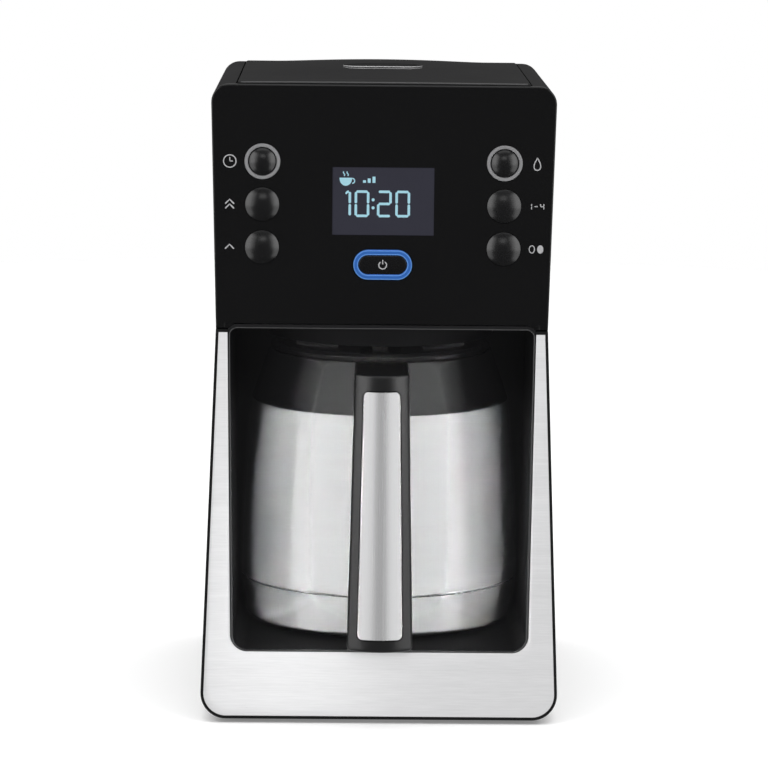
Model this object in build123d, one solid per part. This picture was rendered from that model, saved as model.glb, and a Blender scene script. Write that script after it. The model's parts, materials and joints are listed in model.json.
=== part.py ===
from build123d import *
import math
import os

# Drip coffee maker with a thermal carafe, in millimetres.
# +Z is up and the front faces -Y. The origin lies on the table under the middle of the machine.

# Base and bay
foot_gap = 2.5            # table to the underside of the base pan
base_height = 40.3        # table to the bay floor
bay_clearance = 1.9       # carafe to bay wall, at the floor
bay_draft = 2.7           # how much wider each bay wall stands at the ceiling
bay_corner = 8.0          # rounding between bay floor and walls
arch_corner = 4.0         # rounding between bay ceiling and walls
liner_wall = 2.2
lip_width = 0.95          # front lip of the liner inside the carrier
fit_gap = 0.3             # plain clearance between neighbours

# Carafe, heights from its foot
seat_gap = 0.2
carafe_radius = 79.0      # widest, at the seam
cup_radius = 75.6         # at the bottom of the steel cup
cup_edge = 2.4
foot_radius = 68.0
foot_height = 1.6
foot_width = 6.0
seam_height = 25.3
seam_gap = 0.3
body_height = 126.5       # foot to the lower edge of the collar
body_bulge = 1.6          # outward bow of the steel body
shoulder_radius = 72.6
collar_proud = 0.6
collar_rise = 29.0        # shoulder to the top of the collar
collar_rim = 4.4          # width of the collar's top edge
neck_radius = 58.5
neck_rise = 21.0          # shoulder to the mouth
neck_start = 12.0         # shoulder to the foot of the neck
sheet = 0.8
vacuum_gap = 2.7
flask_floor = 8.0
flask_edge = 6.0
seal_height = 2.8

# Carafe lid
lid_flange = 2.1
lid_thickness = 4.0
lid_chamfer = 2.2
lid_skin = 2.4
lid_dish = 1.1
lid_rim_width = 8.0
lid_inset = 0.67          # lid's rim inside the collar's top edge
plug_gap = 2.3            # plug wall to flask mouth
plug_wall = 2.5
plug_depth = 22.0
boss_radius = 9.0
boss_rise = 1.1
drain_count = 6
drain_radius = 2.4
drain_circle = 14.0
rib_rise = 3.0
rib_start = 24.0
rib_length = 24.0
rib_width = 8.0
rib_round = 2.0
bridge_width = 14.0
bridge_height = 2.5
gasket_height = 2.0
gasket_drop = 9.0
brew_valve_radius = 19.0
brew_valve_thickness = 2.0
brew_valve_stem = 3.0
brew_valve_tail = 7.0
brew_spring_radius = 5.2
stem_gap = 0.2

# Spout
spout_reach = 8.8         # past the collar's top edge
spout_half_width = 16.0
spout_tip = 3.0
spout_drop = 17.0
spout_groove = 5.0
spout_wall = 5.0
spout_lip = 0.8

# Handle
handle_reach = 124.0      # carafe axis to the front of the handle
handle_lean = 8.0         # top of the grip behind its foot
handle_top_width = 28.0
handle_foot_width = 35.5
handle_depth = 19.0
handle_crown = 6.5        # bow of the front face across the grip
handle_foot = 3.6         # lowest point of the grip above the carafe's foot
handle_foot_round = 3.0
arm_depth = 19.0
arm_round = 9.0
inlay_top_margin = 8.5
inlay_foot_margin = 7.0
inlay_top_width = 20.2
inlay_foot_width = 25.0
inlay_corner = 3.0
inlay_thickness = 1.0
inlay_proud = 0.25
inlay_gap = 0.2
screw_radius = 1.9
screw_head = 3.5
screw_head_height = 2.6
screw_spread = 7.0
handle_screw_length = 22.0

# Head
skirt_gap = 4.6           # carafe lid to the skirt of the basket holder
skirt_drop = 11.9         # skirt below the bay ceiling
head_height = 134.2
leg_width_top = 7.75      # bay edge to the outer side, at the waist
leg_width_bottom = 18.1   # bay edge to the outer side, at the base
head_flare = 3.15         # how much wider each side stands at the top
wall = 2.5
bottom_corner = 14.0
top_corner = 10.0
rear_round = 8.0
pan_height = 14.0
front_rake = 23.0         # base front ahead of the panel

# Front trim
carrier_depth = 8.0
trim_border = 1.6
trim_thickness = 1.0
trim_reveal = 1.0         # carrier edge shown beside the bay
leg_gap = 0.5             # carrier top to panel
leg_cap = 1.7             # carrier shown above the steel
trim_gap = 0.1

# Control panel
panel_thickness = 3.0
panel_round = 0.9
board_room = 17.0         # basket holder to the front of the panel
board_offset = 11.5       # front of the panel to the control board
board_thickness = 1.6
board_margin = 14.0
button_x = 66.2
button_drop = 42.1        # top edge to the upper buttons
button_pitch = 23.55
button_radius = 9.25
button_dome = 2.6
button_edge = 0.9
button_travel = 1.5
button_flange = 1.2
ring_radius = 9.75
ring_width = 1.9
ring_proud = 0.7
stem_radius = 2.5
switch_size = 6.0
switch_height = 1.8
window_width = 55.8
window_height = 37.4
window_drop = 63.6
lens_thickness = 1.0
lens_recess = 0.2
display_border = 4.0
brew_gap = 3.75           # display holder to the brew ring
brew_width = 32.9
brew_height = 16.9
brew_ring_width = 2.9
brew_proud = 0.9
board_post = 3.5
board_screw = 1.4
board_screw_head = 3.0
board_screw_head_height = 1.5
board_post_inset = 7.0

# Basket holder, basket and drip stop
holder_radius = 64.0
holder_wall = 2.2
deck_drop = 17.0          # top edge to the underside of the deck
deck_thickness = 2.5
funnel_rise = 47.0        # skirt edge to the funnel where it meets the holder's wall
funnel_fall = 30.0
funnel_wall = 2.4
tube_radius = 9.0
tube_wall = 3.0
tube_floor = 3.0
drip_hole = 5.0
valve_stem = 4.5
valve_tip_round = 1.5
valve_gap = 0.4           # drip valve to the carafe lid's boss
valve_travel = 3.0
valve_seat_gap = 0.6
valve_disc = 8.5
valve_thickness = 2.0
valve_seal = 1.4
spring_wire = 0.9
drip_spring_radius = 6.2
spring_pitch = 3.2
basket_foot_radius = 24.0
basket_wall = 1.6
basket_neck = 58.5
basket_rim_drop = 1.5
basket_rim_height = 2.5
basket_rim_depth = 6.5
filter_gap = 0.6
filter_wall = 0.8

# Lid
shoulder_width = 14.3     # housing beside the lid
lid_side_gap = 0.8
lid_rear_gap = 2.4
lid_front_gap = 0.6
lid_proud = 1.0
lid_edge = 7.0            # depth of the lid's rim
lid_crown = 4.2
lid_crown_front = 2.6
lid_crown_edge = 0.25     # crown at the lid's front and rear edges
lid_crown_place = 0.72    # where along the lid the crown is highest
lid_bevel = 1.0
lid_rim_wall = 3.0
barrel_radius = 6.0
rear_strip = 10.0         # rear face to the lid's rear edge
pin_radius = 2.0
pin_depth = 8.0
pin_fit = 0.05
boss_width = 7.0
scoop_width = 45.0
scoop_length = 26.0
scoop_depth = 5.0
scoop_taper = 24.0
scoop_setback = 92.0      # lid front to the middle of the scoop
lid_plate = 2.0
channel_width = 14.0
channel_height = 6.0
channel_wall = 1.5
dock_radius = 8.0
spray_radius = 42.0
spray_thickness = 3.0
spray_hole = 1.6
spray_count = 12
spray_circles = (14.0, 28.0)

# Water side
tank_depth = 33.0
tank_gap = 2.0
tank_wall = 2.0
tank_side_gap = 2.85
tank_floor_height = 31.7  # bay floor to the underside of the tank
tank_front_gap = 0.7
bulge_half_width = 58.0
bulge_gap = 6.0           # basket holder to the tank's forward bulge
bulge_rise = 9.0          # bay ceiling to the bulge
nipple_radius = 6.0
nipple_length = 10.0
nipple_bore = 4.0
hose_radius = 7.0
hose_bore = 5.1
spigot_radius = 5.0
spigot_bore = 3.6
valve_body_radius = 9.0
valve_body_height = 14.0
spigot_length = 10.0
holder_box = (30.0, 20.0, 62.0)
holder_box_x = -30.0
holder_box_wall = 1.6
cage_slot = 3.2
cage_pitch = 4.8
riser_x = -68.0
riser_tank_gap = 9.0
seal_radius = 8.0
seal_length = 8.0
dock_gap = 0.3

# Heater and power side
heater_radius = 38.0      # middle of the heater's bend
heater_width = 16.0
heater_height = 18.0
heater_leg = 50.0
heater_setback = 10.0     # bend centre behind the carafe axis
heater_post = 8.0
post_radius = 4.0
stub_length = 8.0
hose_bend = 10.0
inlet_bend = 12.0
clamp_width = 12.0
clamp_sheet = 1.2
clamp_foot = 7.0
thermostat_radius = 8.0
thermostat_height = 5.0
fuse_radius = 2.0
fuse_length = 12.0
power_board_size = (76.0, 42.0)
power_board_setback = 67.0
power_post = 7.0
relay_size = (19.0, 15.0, 15.0)
relay_x = -19.0
choke_size = (22.0, 18.0, 17.0)
choke_x = 4.75
terminal_size = (10.0, 8.0, 12.0)
terminal_x = 28.5
gland_x = -60.0
gland_z = 27.0
gland_radius = 6.0
gland_bore = 4.0
gland_flange = 8.5
gland_flange_thickness = 2.0

# Feet, pad and base screws
foot_pad_radius = 8.0
foot_seat = 1.0
foot_x = 74.0
foot_front = 24.0         # base front to the middle of the front feet
foot_rear = 20.0          # rear face to the middle of the rear feet
pad_radius = 60.0
pad_depth = 1.0
base_screw_x = 66.0
base_screw_front = 60.0
base_screw_rear = 30.0
base_boss = 5.0
base_pad = 7.0
base_pad_rise = 4.0
base_screw_length = 16.0
vent_count = 7
vent_pitch = 9.0
vent_width = 3.5
vent_length = 36.0
vent_setback = 76.0       # carafe axis to the middle of the vents, towards the rear

# Levels and places worked out from the sizes above
floor_z = base_height
foot_z = floor_z + seat_gap
seam_z = foot_z + seam_height
shoulder_z = foot_z + body_height
collar_z = shoulder_z + collar_rise
neck_z = shoulder_z + neck_start
mouth_z = shoulder_z + neck_rise
mouth_radius = neck_radius - 2 * sheet - stem_gap
collar_bore = neck_radius + fit_gap
collar_top_radius = collar_bore + collar_rim
cap_z = collar_z + fit_gap
cap_top_z = cap_z + lid_thickness
boss_top_z = cap_top_z + boss_rise
skirt_z = cap_top_z + skirt_gap
ceiling_z = skirt_z + skirt_drop
waist_z = ceiling_z
top_z = waist_z + head_height
deck_z = top_z - deck_drop
deck_top_z = deck_z + deck_thickness

bay_floor_half = carafe_radius + bay_clearance
bay_top_half = bay_floor_half + bay_draft
base_half = bay_floor_half + leg_width_bottom
waist_half = bay_top_half + leg_width_top
top_half = waist_half + head_flare

tank_front = bay_top_half + liner_wall + tank_front_gap
rear_reach = tank_front + tank_depth + tank_gap + wall
axis_y = (handle_reach + inlay_proud - rear_reach) / 2
rear_y = axis_y + rear_reach
panel_y = axis_y - holder_radius - board_room
panel_back_y = panel_y + panel_thickness
base_front_y = panel_y - front_rake
board_y = panel_y + board_offset
tank_front_y = axis_y + tank_front
tank_rear_y = tank_front_y + tank_depth
tank_half = waist_half - wall - tank_side_gap
tank_z = floor_z + tank_floor_height
bulge_y = axis_y + holder_radius + bulge_gap
bulge_z = ceiling_z + bulge_rise
pan_top_z = foot_gap + pan_height
pan_floor_z = foot_gap + wall
heater_z = pan_floor_z + heater_post
hose_z = heater_z + heater_height / 2
heater_y = axis_y + heater_setback
heater_end_y = heater_y + heater_leg
riser_y = tank_front_y - riser_tank_gap
lid_half = top_half - shoulder_width
lid_front_y = panel_back_y + lid_front_gap
lid_rear_y = rear_y - rear_strip
lid_edge_z = top_z + lid_proud
lid_bottom_z = lid_edge_z - lid_edge
hinge_y = lid_rear_y - barrel_radius
hinge_z = lid_edge_z - barrel_radius
channel_z = lid_bottom_z - channel_height
dock_z = channel_z - dock_gap
window_z = top_z - window_drop
brew_z = window_z - window_height / 2 - display_border - brew_gap - brew_height / 2
far = 2 * (rear_reach + handle_reach)


def block(x, y, z):
    """Box between pairs of limits."""
    sizes = [hi - lo for lo, hi in (x, y, z)]
    return Pos(*[(lo + hi) / 2 for lo, hi in (x, y, z)]) * Box(*sizes)


def turned(*points):
    """Solid of revolution about the carafe axis, from (radius, height) points."""
    face = make_face(Polyline(*[(r, 0, z) for r, z in points], close=True))
    return Pos(0, axis_y, 0) * revolve(face, Axis.Z)


def column(x, y, z, radius):
    """Upright cylinder at (x, y) between two heights."""
    return Pos(x, y, (z[0] + z[1]) / 2) * Cylinder(radius, z[1] - z[0])


def rod_y(x, y, z, radius):
    """Cylinder along Y at (x, z) between two depths."""
    return Pos(x, (y[0] + y[1]) / 2, z) * Rot(90, 0, 0) * Cylinder(radius, y[1] - y[0])


def rod_x(x, y, z, radius):
    """Cylinder along X at (y, z) between two sides."""
    return Pos((x[0] + x[1]) / 2, y, z) * Rot(0, 90, 0) * Cylinder(radius, x[1] - x[0])


def front_prism(outline, y0, y1):
    """Outline drawn in (x, z), carried from one depth to another."""
    return extrude(Plane.XZ.offset(-y0) * outline, amount=y1 - y0, dir=(0, 1, 0))


def side_prism(points):
    """Outline of (y, z) points, carried right across the machine."""
    outline = make_face(Polyline(*points, close=True))
    return extrude(Plane.YZ * outline, amount=far, both=True)


def tube_along(points, bend, outer, bore):
    """Hose along straight runs joined by tangent arcs."""
    path = FilletPolyline(*points, radius=bend)
    section = Plane(origin=path @ 0, z_dir=path % 0) * (Circle(outer) - Circle(bore))
    return sweep(section, path=path)


def coil(radius, z0, z1):
    """Compression spring about the carafe axis, one unbroken wire."""
    path = Helix(spring_pitch, z1 - z0 - spring_wire, radius, center=(0, 0, z0 + spring_wire / 2))
    section = Plane(origin=path @ 0, z_dir=path % 0) * Circle(spring_wire / 2)
    return Pos(0, axis_y, 0) * sweep(section, path=path)


def side_half(z):
    """Half width of the body at a height: widest at the base, waisted, flared to the top."""
    if z < waist_z:
        return base_half + (waist_half - base_half) * (z - foot_gap) / (waist_z - foot_gap)
    return waist_half + head_flare * (z - waist_z) / head_height


def bay_half(z):
    """Half width of the bay at a height."""
    return bay_floor_half + bay_draft * (z - floor_z) / (ceiling_z - floor_z)


def front_y(z):
    """Depth of the raked front at a height."""
    return panel_y - front_rake * (waist_z - z) / (waist_z - foot_gap)


def body_outline(inset):
    """Front view of the body, drawn in by a wall."""
    low = foot_gap + inset
    high = top_z - inset
    halves = [side_half(z) - inset for z in (low, waist_z, high)]
    right = list(zip(halves, (low, waist_z, high)))
    left = [(-x, z) for x, z in reversed(right)]
    outline = make_face(Polyline(*right, *left, close=True))
    outline = fillet(outline.vertices().group_by(Axis.Y)[0], bottom_corner - inset)
    return fillet(outline.vertices().group_by(Axis.Y)[-1], top_corner - inset)


def bay_outline(grow, high):
    """Front view of the bay opening, grown by a margin, up to a height."""
    low = floor_z - grow
    right = [(bay_half(z) + grow, z) for z in (low, high)]
    left = [(-x, z) for x, z in reversed(right)]
    outline = make_face(Polyline(*right, *left, close=True))
    return fillet(outline.vertices().group_by(Axis.Y)[0], bay_corner + grow)


def raked_slab(front, back):
    """Slice of space between two depths behind the raked front."""
    low = -far
    high = waist_z
    return side_prism([
        (front_y(low) + front, low), (front_y(high) + front, high),
        (front_y(high) + back, high), (front_y(low) + back, low),
    ])


def body_block(inset):
    """Whole body as a solid, drawn in by a wall, with its rear edges rounded."""
    solid = front_prism(body_outline(inset), base_front_y - carrier_depth, rear_y - inset)
    rear = solid.faces().sort_by(Axis.Y)[-1]
    return fillet(rear.edges(), rear_round - inset)


def body_shell():
    """Hollow body behind the carrier and the control panel, open to the front."""
    cut_y = front_y(waist_z) + carrier_depth
    profile = side_prism([
        (front_y(foot_gap) + carrier_depth, foot_gap), (cut_y, waist_z),
        (panel_back_y, waist_z), (panel_back_y, top_z),
        (rear_y, top_z), (rear_y, foot_gap),
    ])
    return (body_block(0) & profile) - body_block(wall)


def gland_hole(radius, y0):
    return rod_y(gland_x, (y0, rear_y), gland_z, radius)


def make_housing():
    """Sides, back and shoulders, with the lid's opening and its hinge bosses."""
    opening = lid_half + lid_side_gap
    housing = body_shell() & block((-far, far), (-far, far), (pan_top_z, far))
    housing -= block(
        (-opening, opening),
        (panel_y, lid_rear_y + lid_rear_gap),
        (lid_bottom_z - barrel_radius, top_z + lid_proud),
    )
    for side in (-1, 1):
        boss = block(
            sorted((side * opening, side * (opening + boss_width))),
            (hinge_y - barrel_radius, hinge_y + barrel_radius),
            (hinge_z - barrel_radius, top_z),
        )
        housing += boss & body_block(wall / 2)
        housing -= rod_x((side * opening - boss_width, side * opening + boss_width), hinge_y, hinge_z,
                         pin_radius + pin_fit / 2)
    return housing - gland_hole(gland_radius + fit_gap, rear_y - far)


def heater_post_places():
    legs = [(side * heater_radius, heater_y + heater_leg / 2) for side in (-1, 1)]
    return legs + [(0, heater_y - heater_radius)]


def power_post_places():
    half_x = power_board_size[0] / 2 - board_post
    half_y = power_board_size[1] / 2 - board_post
    middle = axis_y - power_board_setback
    return [(sx * half_x, middle + sy * half_y) for sx in (-1, 1) for sy in (-1, 1)]


def base_screw_places():
    depths = (axis_y - base_screw_front, axis_y + base_screw_rear)
    return [(side * base_screw_x, y) for side in (-1, 1) for y in depths]


def foot_places():
    depths = (base_front_y + foot_front, rear_y - foot_rear)
    return [(side * foot_x, y) for side in (-1, 1) for y in depths]


def make_base_pan():
    """Tray that closes the body below, with posts for the heater and the power board."""
    pan = body_shell() & block((-far, far), (-far, far), (0, pan_top_z))
    for x, y in heater_post_places():
        pan += column(x, y, (pan_floor_z - wall / 2, heater_z), post_radius)
    for x, y in power_post_places():
        pan += column(x, y, (pan_floor_z - wall / 2, pan_floor_z + power_post), board_post - fit_gap)
    for x, y in base_screw_places():
        pan += column(x, y, (pan_floor_z - wall / 2, pan_floor_z + base_pad_rise), base_pad)
        pan -= column(x, y, (0, foot_gap + screw_head_height + fit_gap), screw_head + fit_gap)
        pan -= column(x, y, (0, pan_floor_z + base_pad_rise), screw_radius + fit_gap)
    for x, y in foot_places():
        pan -= column(x, y, (0, foot_gap + foot_seat), foot_pad_radius + stem_gap)
    for step in range(vent_count):
        x = (step - (vent_count - 1) / 2) * vent_pitch
        vent = Pos(x, axis_y + vent_setback, 0) * Rot(0, 0, 90) * SlotOverall(vent_length, vent_width)
        pan -= extrude(vent, amount=pan_floor_z)
    return pan


def make_rubber_feet():
    feet = []
    for x, y in foot_places():
        foot = column(x, y, (0, foot_gap + foot_seat), foot_pad_radius)
        feet.append(fillet(foot.edges().group_by(Axis.Z)[0], foot_seat))
    return Compound(children=feet)


def make_base_screws():
    screws = []
    for x, y in base_screw_places():
        head_top = foot_gap + screw_head_height + fit_gap
        screw = column(x, y, (foot_gap + fit_gap, head_top), screw_head)
        screws.append(screw + column(x, y, (head_top, head_top + base_screw_length), screw_radius))
    return Compound(children=screws)


def trim_outline():
    """Steel U: two legs and the base band."""
    legs_top = waist_z - leg_gap - leg_cap
    outline = body_outline(trim_border) & Pos(0, legs_top - far / 2) * Rectangle(far, far)
    return outline - bay_outline(lip_width + fit_gap + trim_reveal, waist_z)


def make_front_trim():
    return front_prism(trim_outline(), -far, far) & raked_slab(0, trim_thickness)


def make_trim_carrier():
    """Black frame behind the steel, shown as a thin edge round it."""
    outline = body_outline(0) & Pos(0, waist_z - leg_gap - far / 2) * Rectangle(far, far)
    outline -= bay_outline(lip_width + fit_gap, waist_z)
    pocket = offset(trim_outline(), trim_gap)
    carrier = front_prism(outline, -far, far) & raked_slab(0, carrier_depth)
    return carrier - (front_prism(pocket, -far, far) & raked_slab(0, trim_thickness + trim_gap))


def bay_plan(half, z):
    """Plan of the bay at a height: straight sides and a round back."""
    front = axis_y - 2 * half
    sides = Polyline((half, axis_y, z), (half, front, z), (-half, front, z), (-half, axis_y, z))
    back = ThreePointArc((-half, axis_y, z), (0, axis_y + half, z), (half, axis_y, z))
    return make_face(sides + back)


def bay_space(grow):
    """Space of the bay, grown by a wall, with rounded floor and ceiling edges."""
    low = floor_z - grow
    high = ceiling_z + grow
    space = loft([bay_plan(bay_half(low) + grow, low), bay_plan(bay_half(high) + grow, high)])
    front = space.faces().sort_by(Axis.Y)[0]
    floor_edges = space.edges().group_by(Axis.Z)[0]
    space = fillet([e for e in floor_edges if e not in front.edges()], bay_corner + grow)
    front = space.faces().sort_by(Axis.Y)[0]
    ceiling_edges = space.edges().group_by(Axis.Z)[-1]
    return fillet([e for e in ceiling_edges if e not in front.edges()], arch_corner + grow)


def make_bay_liner():
    """Walls, floor and ceiling of the bay, with bosses for the base screws below."""
    behind = side_prism([
        (front_y(0), 0), (front_y(top_z), top_z), (far, top_z), (far, 0),
    ])
    liner = bay_space(liner_wall) & behind
    lip = front_prism(bay_outline(lip_width, ceiling_z), -far, far)
    below = block((-far, far), (-far, far), (0, waist_z - leg_gap))
    liner -= (raked_slab(-far, carrier_depth + fit_gap) & below) - lip
    for x, y in base_screw_places():
        liner += column(x, y, (pan_floor_z + base_pad_rise, floor_z - liner_wall / 2), base_boss)
        liner -= column(x, y, (0, floor_z - liner_wall), screw_radius + stem_gap)
    liner -= bay_space(0)
    liner -= column(0, axis_y, (ceiling_z - liner_wall, ceiling_z + 2 * liner_wall), holder_radius + fit_gap)
    return liner - column(0, axis_y, (floor_z - pad_depth, floor_z), pad_radius + fit_gap)


def make_carafe_pad():
    return column(0, axis_y, (floor_z - pad_depth, floor_z), pad_radius)


def button_z(row):
    return top_z - button_drop - row * button_pitch


def on_panel(x, z, piece):
    """Places a piece built along +Z, from the front of the panel, at (x, z) on the panel."""
    return Pos(x, panel_y, z) * Rot(90, 0, 0) * piece


def slot_prism(width, height, low, high):
    """Upright prism with round ends, between two heights."""
    return extrude(Pos(0, 0, low) * SlotOverall(width, height), amount=high - low)


def board_post_places():
    half = side_half(waist_z) - board_margin - board_post_inset
    low = waist_z + board_margin + board_post_inset
    high = deck_z - board_post_inset - 2 * fit_gap
    return [(side * half, z) for side in (-1, 1) for z in (low, high)]


def button_places():
    """Name, side, row and cap radius of each round button."""
    ringed = ring_radius - ring_width - fit_gap
    return [
        ("program_button", -1, 0, ringed), ("hour_button", -1, 1, button_radius),
        ("minute_button", -1, 2, button_radius), ("clean_button", 1, 0, ringed),
        ("small_batch_button", 1, 1, button_radius), ("strength_button", 1, 2, button_radius),
    ]


def make_control_panel():
    """Gloss black front of the head, with every opening and the posts for the board."""
    above = Pos(0, waist_z + far / 2) * Rectangle(far, far)
    outline = (body_outline(0) & above) - bay_outline(liner_wall + fit_gap, waist_z + liner_wall + fit_gap)
    panel = front_prism(outline, panel_y, panel_back_y)
    panel = fillet(panel.faces().sort_by(Axis.Y)[0].edges(), panel_round)
    for _, side, row, radius in button_places():
        hole = radius if radius == button_radius else ring_radius - fit_gap + trim_gap
        panel -= rod_y(side * button_x, (panel_y, panel_back_y), button_z(row), hole + fit_gap)
    brew = slot_prism(brew_width + 2 * trim_gap, brew_height + 2 * trim_gap, -panel_thickness, 0)
    panel -= on_panel(0, brew_z, brew)
    panel -= on_panel(0, window_z, Box(window_width, window_height, far))
    for x, z in board_post_places():
        panel += rod_y(x, (panel_back_y - panel_thickness / 2, board_y), z, board_post)
        panel -= rod_y(x, (panel_back_y, board_y), z, board_screw + trim_gap)
    return panel


def make_button(side, row, radius):
    """Domed cap, its flange behind the panel and the stem that reaches for the switch."""
    flange = -(panel_thickness + fit_gap)
    stem = -(board_offset - switch_height - button_travel - fit_gap)
    below = Polyline(
        (0, 0, button_dome), (0, 0, stem), (stem_radius, 0, stem), (stem_radius, 0, flange - button_edge),
        (radius + button_flange, 0, flange - button_edge), (radius + button_flange, 0, flange),
        (radius, 0, flange), (radius, 0, button_edge),
    )
    rise = button_dome - button_edge
    sphere = (radius * radius + rise * rise) / (2 * rise)
    half_turn = math.asin(radius / sphere) / 2
    middle = (sphere * math.sin(half_turn), 0, button_dome - sphere * (1 - math.cos(half_turn)))
    dome = ThreePointArc((radius, 0, button_edge), middle, (0, 0, button_dome))
    cap = revolve(make_face(below + dome), Axis.Z)
    return on_panel(side * button_x, button_z(row), cap)


def make_indicator_rings():
    """Grey rings round the two upper buttons."""
    rings = []
    for side in (-1, 1):
        ring = Cylinder(ring_radius, panel_thickness + ring_proud)
        ring -= Cylinder(ring_radius - ring_width, panel_thickness + ring_proud)
        ring = fillet(ring.edges().group_by(Axis.Z)[-1], ring_proud / 2)
        ring = Pos(0, 0, (ring_proud - panel_thickness) / 2) * ring
        rings.append(on_panel(side * button_x, button_z(0), ring))
    return Compound(children=rings)


def make_brew_ring():
    inner_width = brew_width - 2 * brew_ring_width
    inner_height = brew_height - 2 * brew_ring_width
    ring = slot_prism(brew_width, brew_height, -panel_thickness, ring_proud)
    ring -= slot_prism(inner_width, inner_height, -panel_thickness, ring_proud)
    ring = fillet(ring.edges().group_by(Axis.Z)[-1], ring_proud / 2)
    return on_panel(0, brew_z, ring)


def make_brew_button():
    width = brew_width - 2 * brew_ring_width - 2 * fit_gap
    height = brew_height - 2 * brew_ring_width - 2 * fit_gap
    flange = -(panel_thickness + fit_gap)
    stem = -(board_offset - switch_height - button_travel - fit_gap)
    cap = slot_prism(width, height, flange, brew_proud)
    cap = fillet(cap.edges().group_by(Axis.Z)[-1], brew_proud / 2)
    cap += slot_prism(width + 2 * button_flange, height + 2 * button_flange, flange - button_edge, flange)
    cap += Pos(0, 0, (stem + flange) / 2) * Cylinder(stem_radius, flange - stem)
    return on_panel(0, brew_z, cap)


def make_display_lens():
    lens = Box(window_width - 2 * fit_gap, window_height - 2 * fit_gap, lens_thickness)
    return on_panel(0, window_z, Pos(0, 0, -lens_recess - lens_thickness / 2) * lens)


def make_display_module():
    """Lit display glass in the window and its holder between panel and board."""
    glass_front = lens_recess + lens_thickness + trim_gap
    glass = block(
        (-window_width / 2 + fit_gap, window_width / 2 - fit_gap),
        (panel_y + glass_front, panel_back_y + fit_gap),
        (window_z - window_height / 2 + fit_gap, window_z + window_height / 2 - fit_gap),
    )
    half_x = window_width / 2 + display_border
    half_z = window_height / 2 + display_border
    holder = block((-half_x, half_x), (panel_back_y, board_y), (window_z - half_z, window_z + half_z))
    return glass + holder


def make_control_board():
    half = side_half(waist_z) - board_margin
    board = block((-half, half), (board_y, board_y + board_thickness),
                  (waist_z + board_margin, deck_z - 2 * fit_gap))
    for x, z in board_post_places():
        board -= rod_y(x, (board_y, board_y + board_thickness), z, board_screw + trim_gap)
    return board


def make_tact_switches():
    places = [(side * button_x, button_z(row)) for _, side, row, _ in button_places()] + [(0, brew_z)]
    half = switch_size / 2
    depth = (board_y - switch_height, board_y)
    return Compound(children=[
        block((x - half, x + half), depth, (z - half, z + half)) for x, z in places
    ])


def make_board_screws():
    back = board_y + board_thickness
    screws = []
    for x, z in board_post_places():
        head = rod_y(x, (back, back + board_screw_head_height), z, board_screw_head)
        screws.append(head + rod_y(x, (panel_back_y + trim_gap, back), z, board_screw))
    return Compound(children=screws)


def tank_plan(inset):
    """Reservoir seen from above: full width at the rear, a bulge towards the basket."""
    rear = Rectangle(2 * (tank_half - inset), tank_depth - 2 * inset)
    rear = Pos(0, (tank_front_y + tank_rear_y) / 2) * rear
    bulge_front = bulge_y + inset
    depth = tank_front_y + 2 * inset - bulge_front
    bulge = Pos(0, bulge_front + depth / 2) * Rectangle(2 * (bulge_half_width - inset), depth)
    return rear, bulge


def make_water_reservoir():
    """Open-topped tank behind the bay, with the outlet nipple below."""
    rear, bulge = tank_plan(0)
    tank = extrude(Pos(0, 0, tank_z) * rear, amount=deck_z - tank_z)
    tank += extrude(Pos(0, 0, bulge_z) * bulge, amount=deck_z - bulge_z)
    rear, bulge = tank_plan(tank_wall)
    tank -= extrude(Pos(0, 0, tank_z + tank_wall) * rear, amount=far)
    tank -= extrude(Pos(0, 0, bulge_z + tank_wall) * bulge, amount=far)
    tank += column(heater_radius, inlet_y(), (tank_z - nipple_length, tank_z + tank_wall / 2), nipple_radius)
    return tank - column(heater_radius, inlet_y(), (0, tank_z + 2 * tank_wall), nipple_bore)


def inlet_y():
    return (tank_front_y + tank_rear_y) / 2


def make_water_filter_holder():
    """Slotted cage that stands on the tank floor."""
    width, depth, height = holder_box
    low = tank_z + tank_wall
    middle = inlet_y()

    def cage(inset):
        return block(
            (holder_box_x - width / 2 + inset, holder_box_x + width / 2 - inset),
            (middle - depth / 2 + inset, middle + depth / 2 - inset),
            (low + inset, low + height),
        )
    holder = cage(0) - cage(holder_box_wall)
    for step in (-2, -1, 0, 1, 2):
        x = holder_box_x + step * cage_pitch
        holder -= block((x - cage_slot / 2, x + cage_slot / 2), (middle - depth, middle + depth),
                        (low + 2 * cage_slot, low + height - 2 * cage_slot))
    return holder


def make_check_valve():
    """One-way valve under the tank's nipple."""
    top = tank_z - nipple_length
    low = top - valve_body_height
    valve = column(heater_radius, inlet_y(), (low, top), valve_body_radius)
    valve += column(heater_radius, inlet_y(), (low - spigot_length, low), spigot_radius)
    return valve - column(heater_radius, inlet_y(), (0, top), spigot_bore)


def make_inlet_hose():
    top = tank_z - nipple_length - valve_body_height
    return tube_along(
        [(heater_radius, inlet_y(), top), (heater_radius, inlet_y(), hose_z),
         (heater_radius, heater_end_y + fit_gap, hose_z)],
        inlet_bend, hose_radius, hose_bore,
    )


def make_flow_heater():
    """Cast U-shaped heater, with a stub at each end for the hoses."""
    outer = heater_radius + heater_width / 2
    inner = heater_radius - heater_width / 2
    plan = Pos(0, heater_y) * (Circle(outer) - Circle(inner))
    plan -= Pos(0, heater_y + far / 2) * Rectangle(far, far)
    for side in (-1, 1):
        plan += Pos(side * heater_radius, heater_y + heater_leg / 2) * Rectangle(heater_width, heater_leg)
    heater = extrude(Pos(0, 0, heater_z) * plan, amount=heater_height)
    stub_end = heater_end_y + stub_length
    for side in (-1, 1):
        x = side * heater_radius
        heater += rod_y(x, (heater_end_y, stub_end), hose_z, spigot_radius)
        heater -= rod_y(x, (heater_end_y - stub_length, stub_end), hose_z, spigot_bore)
    return heater


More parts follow.
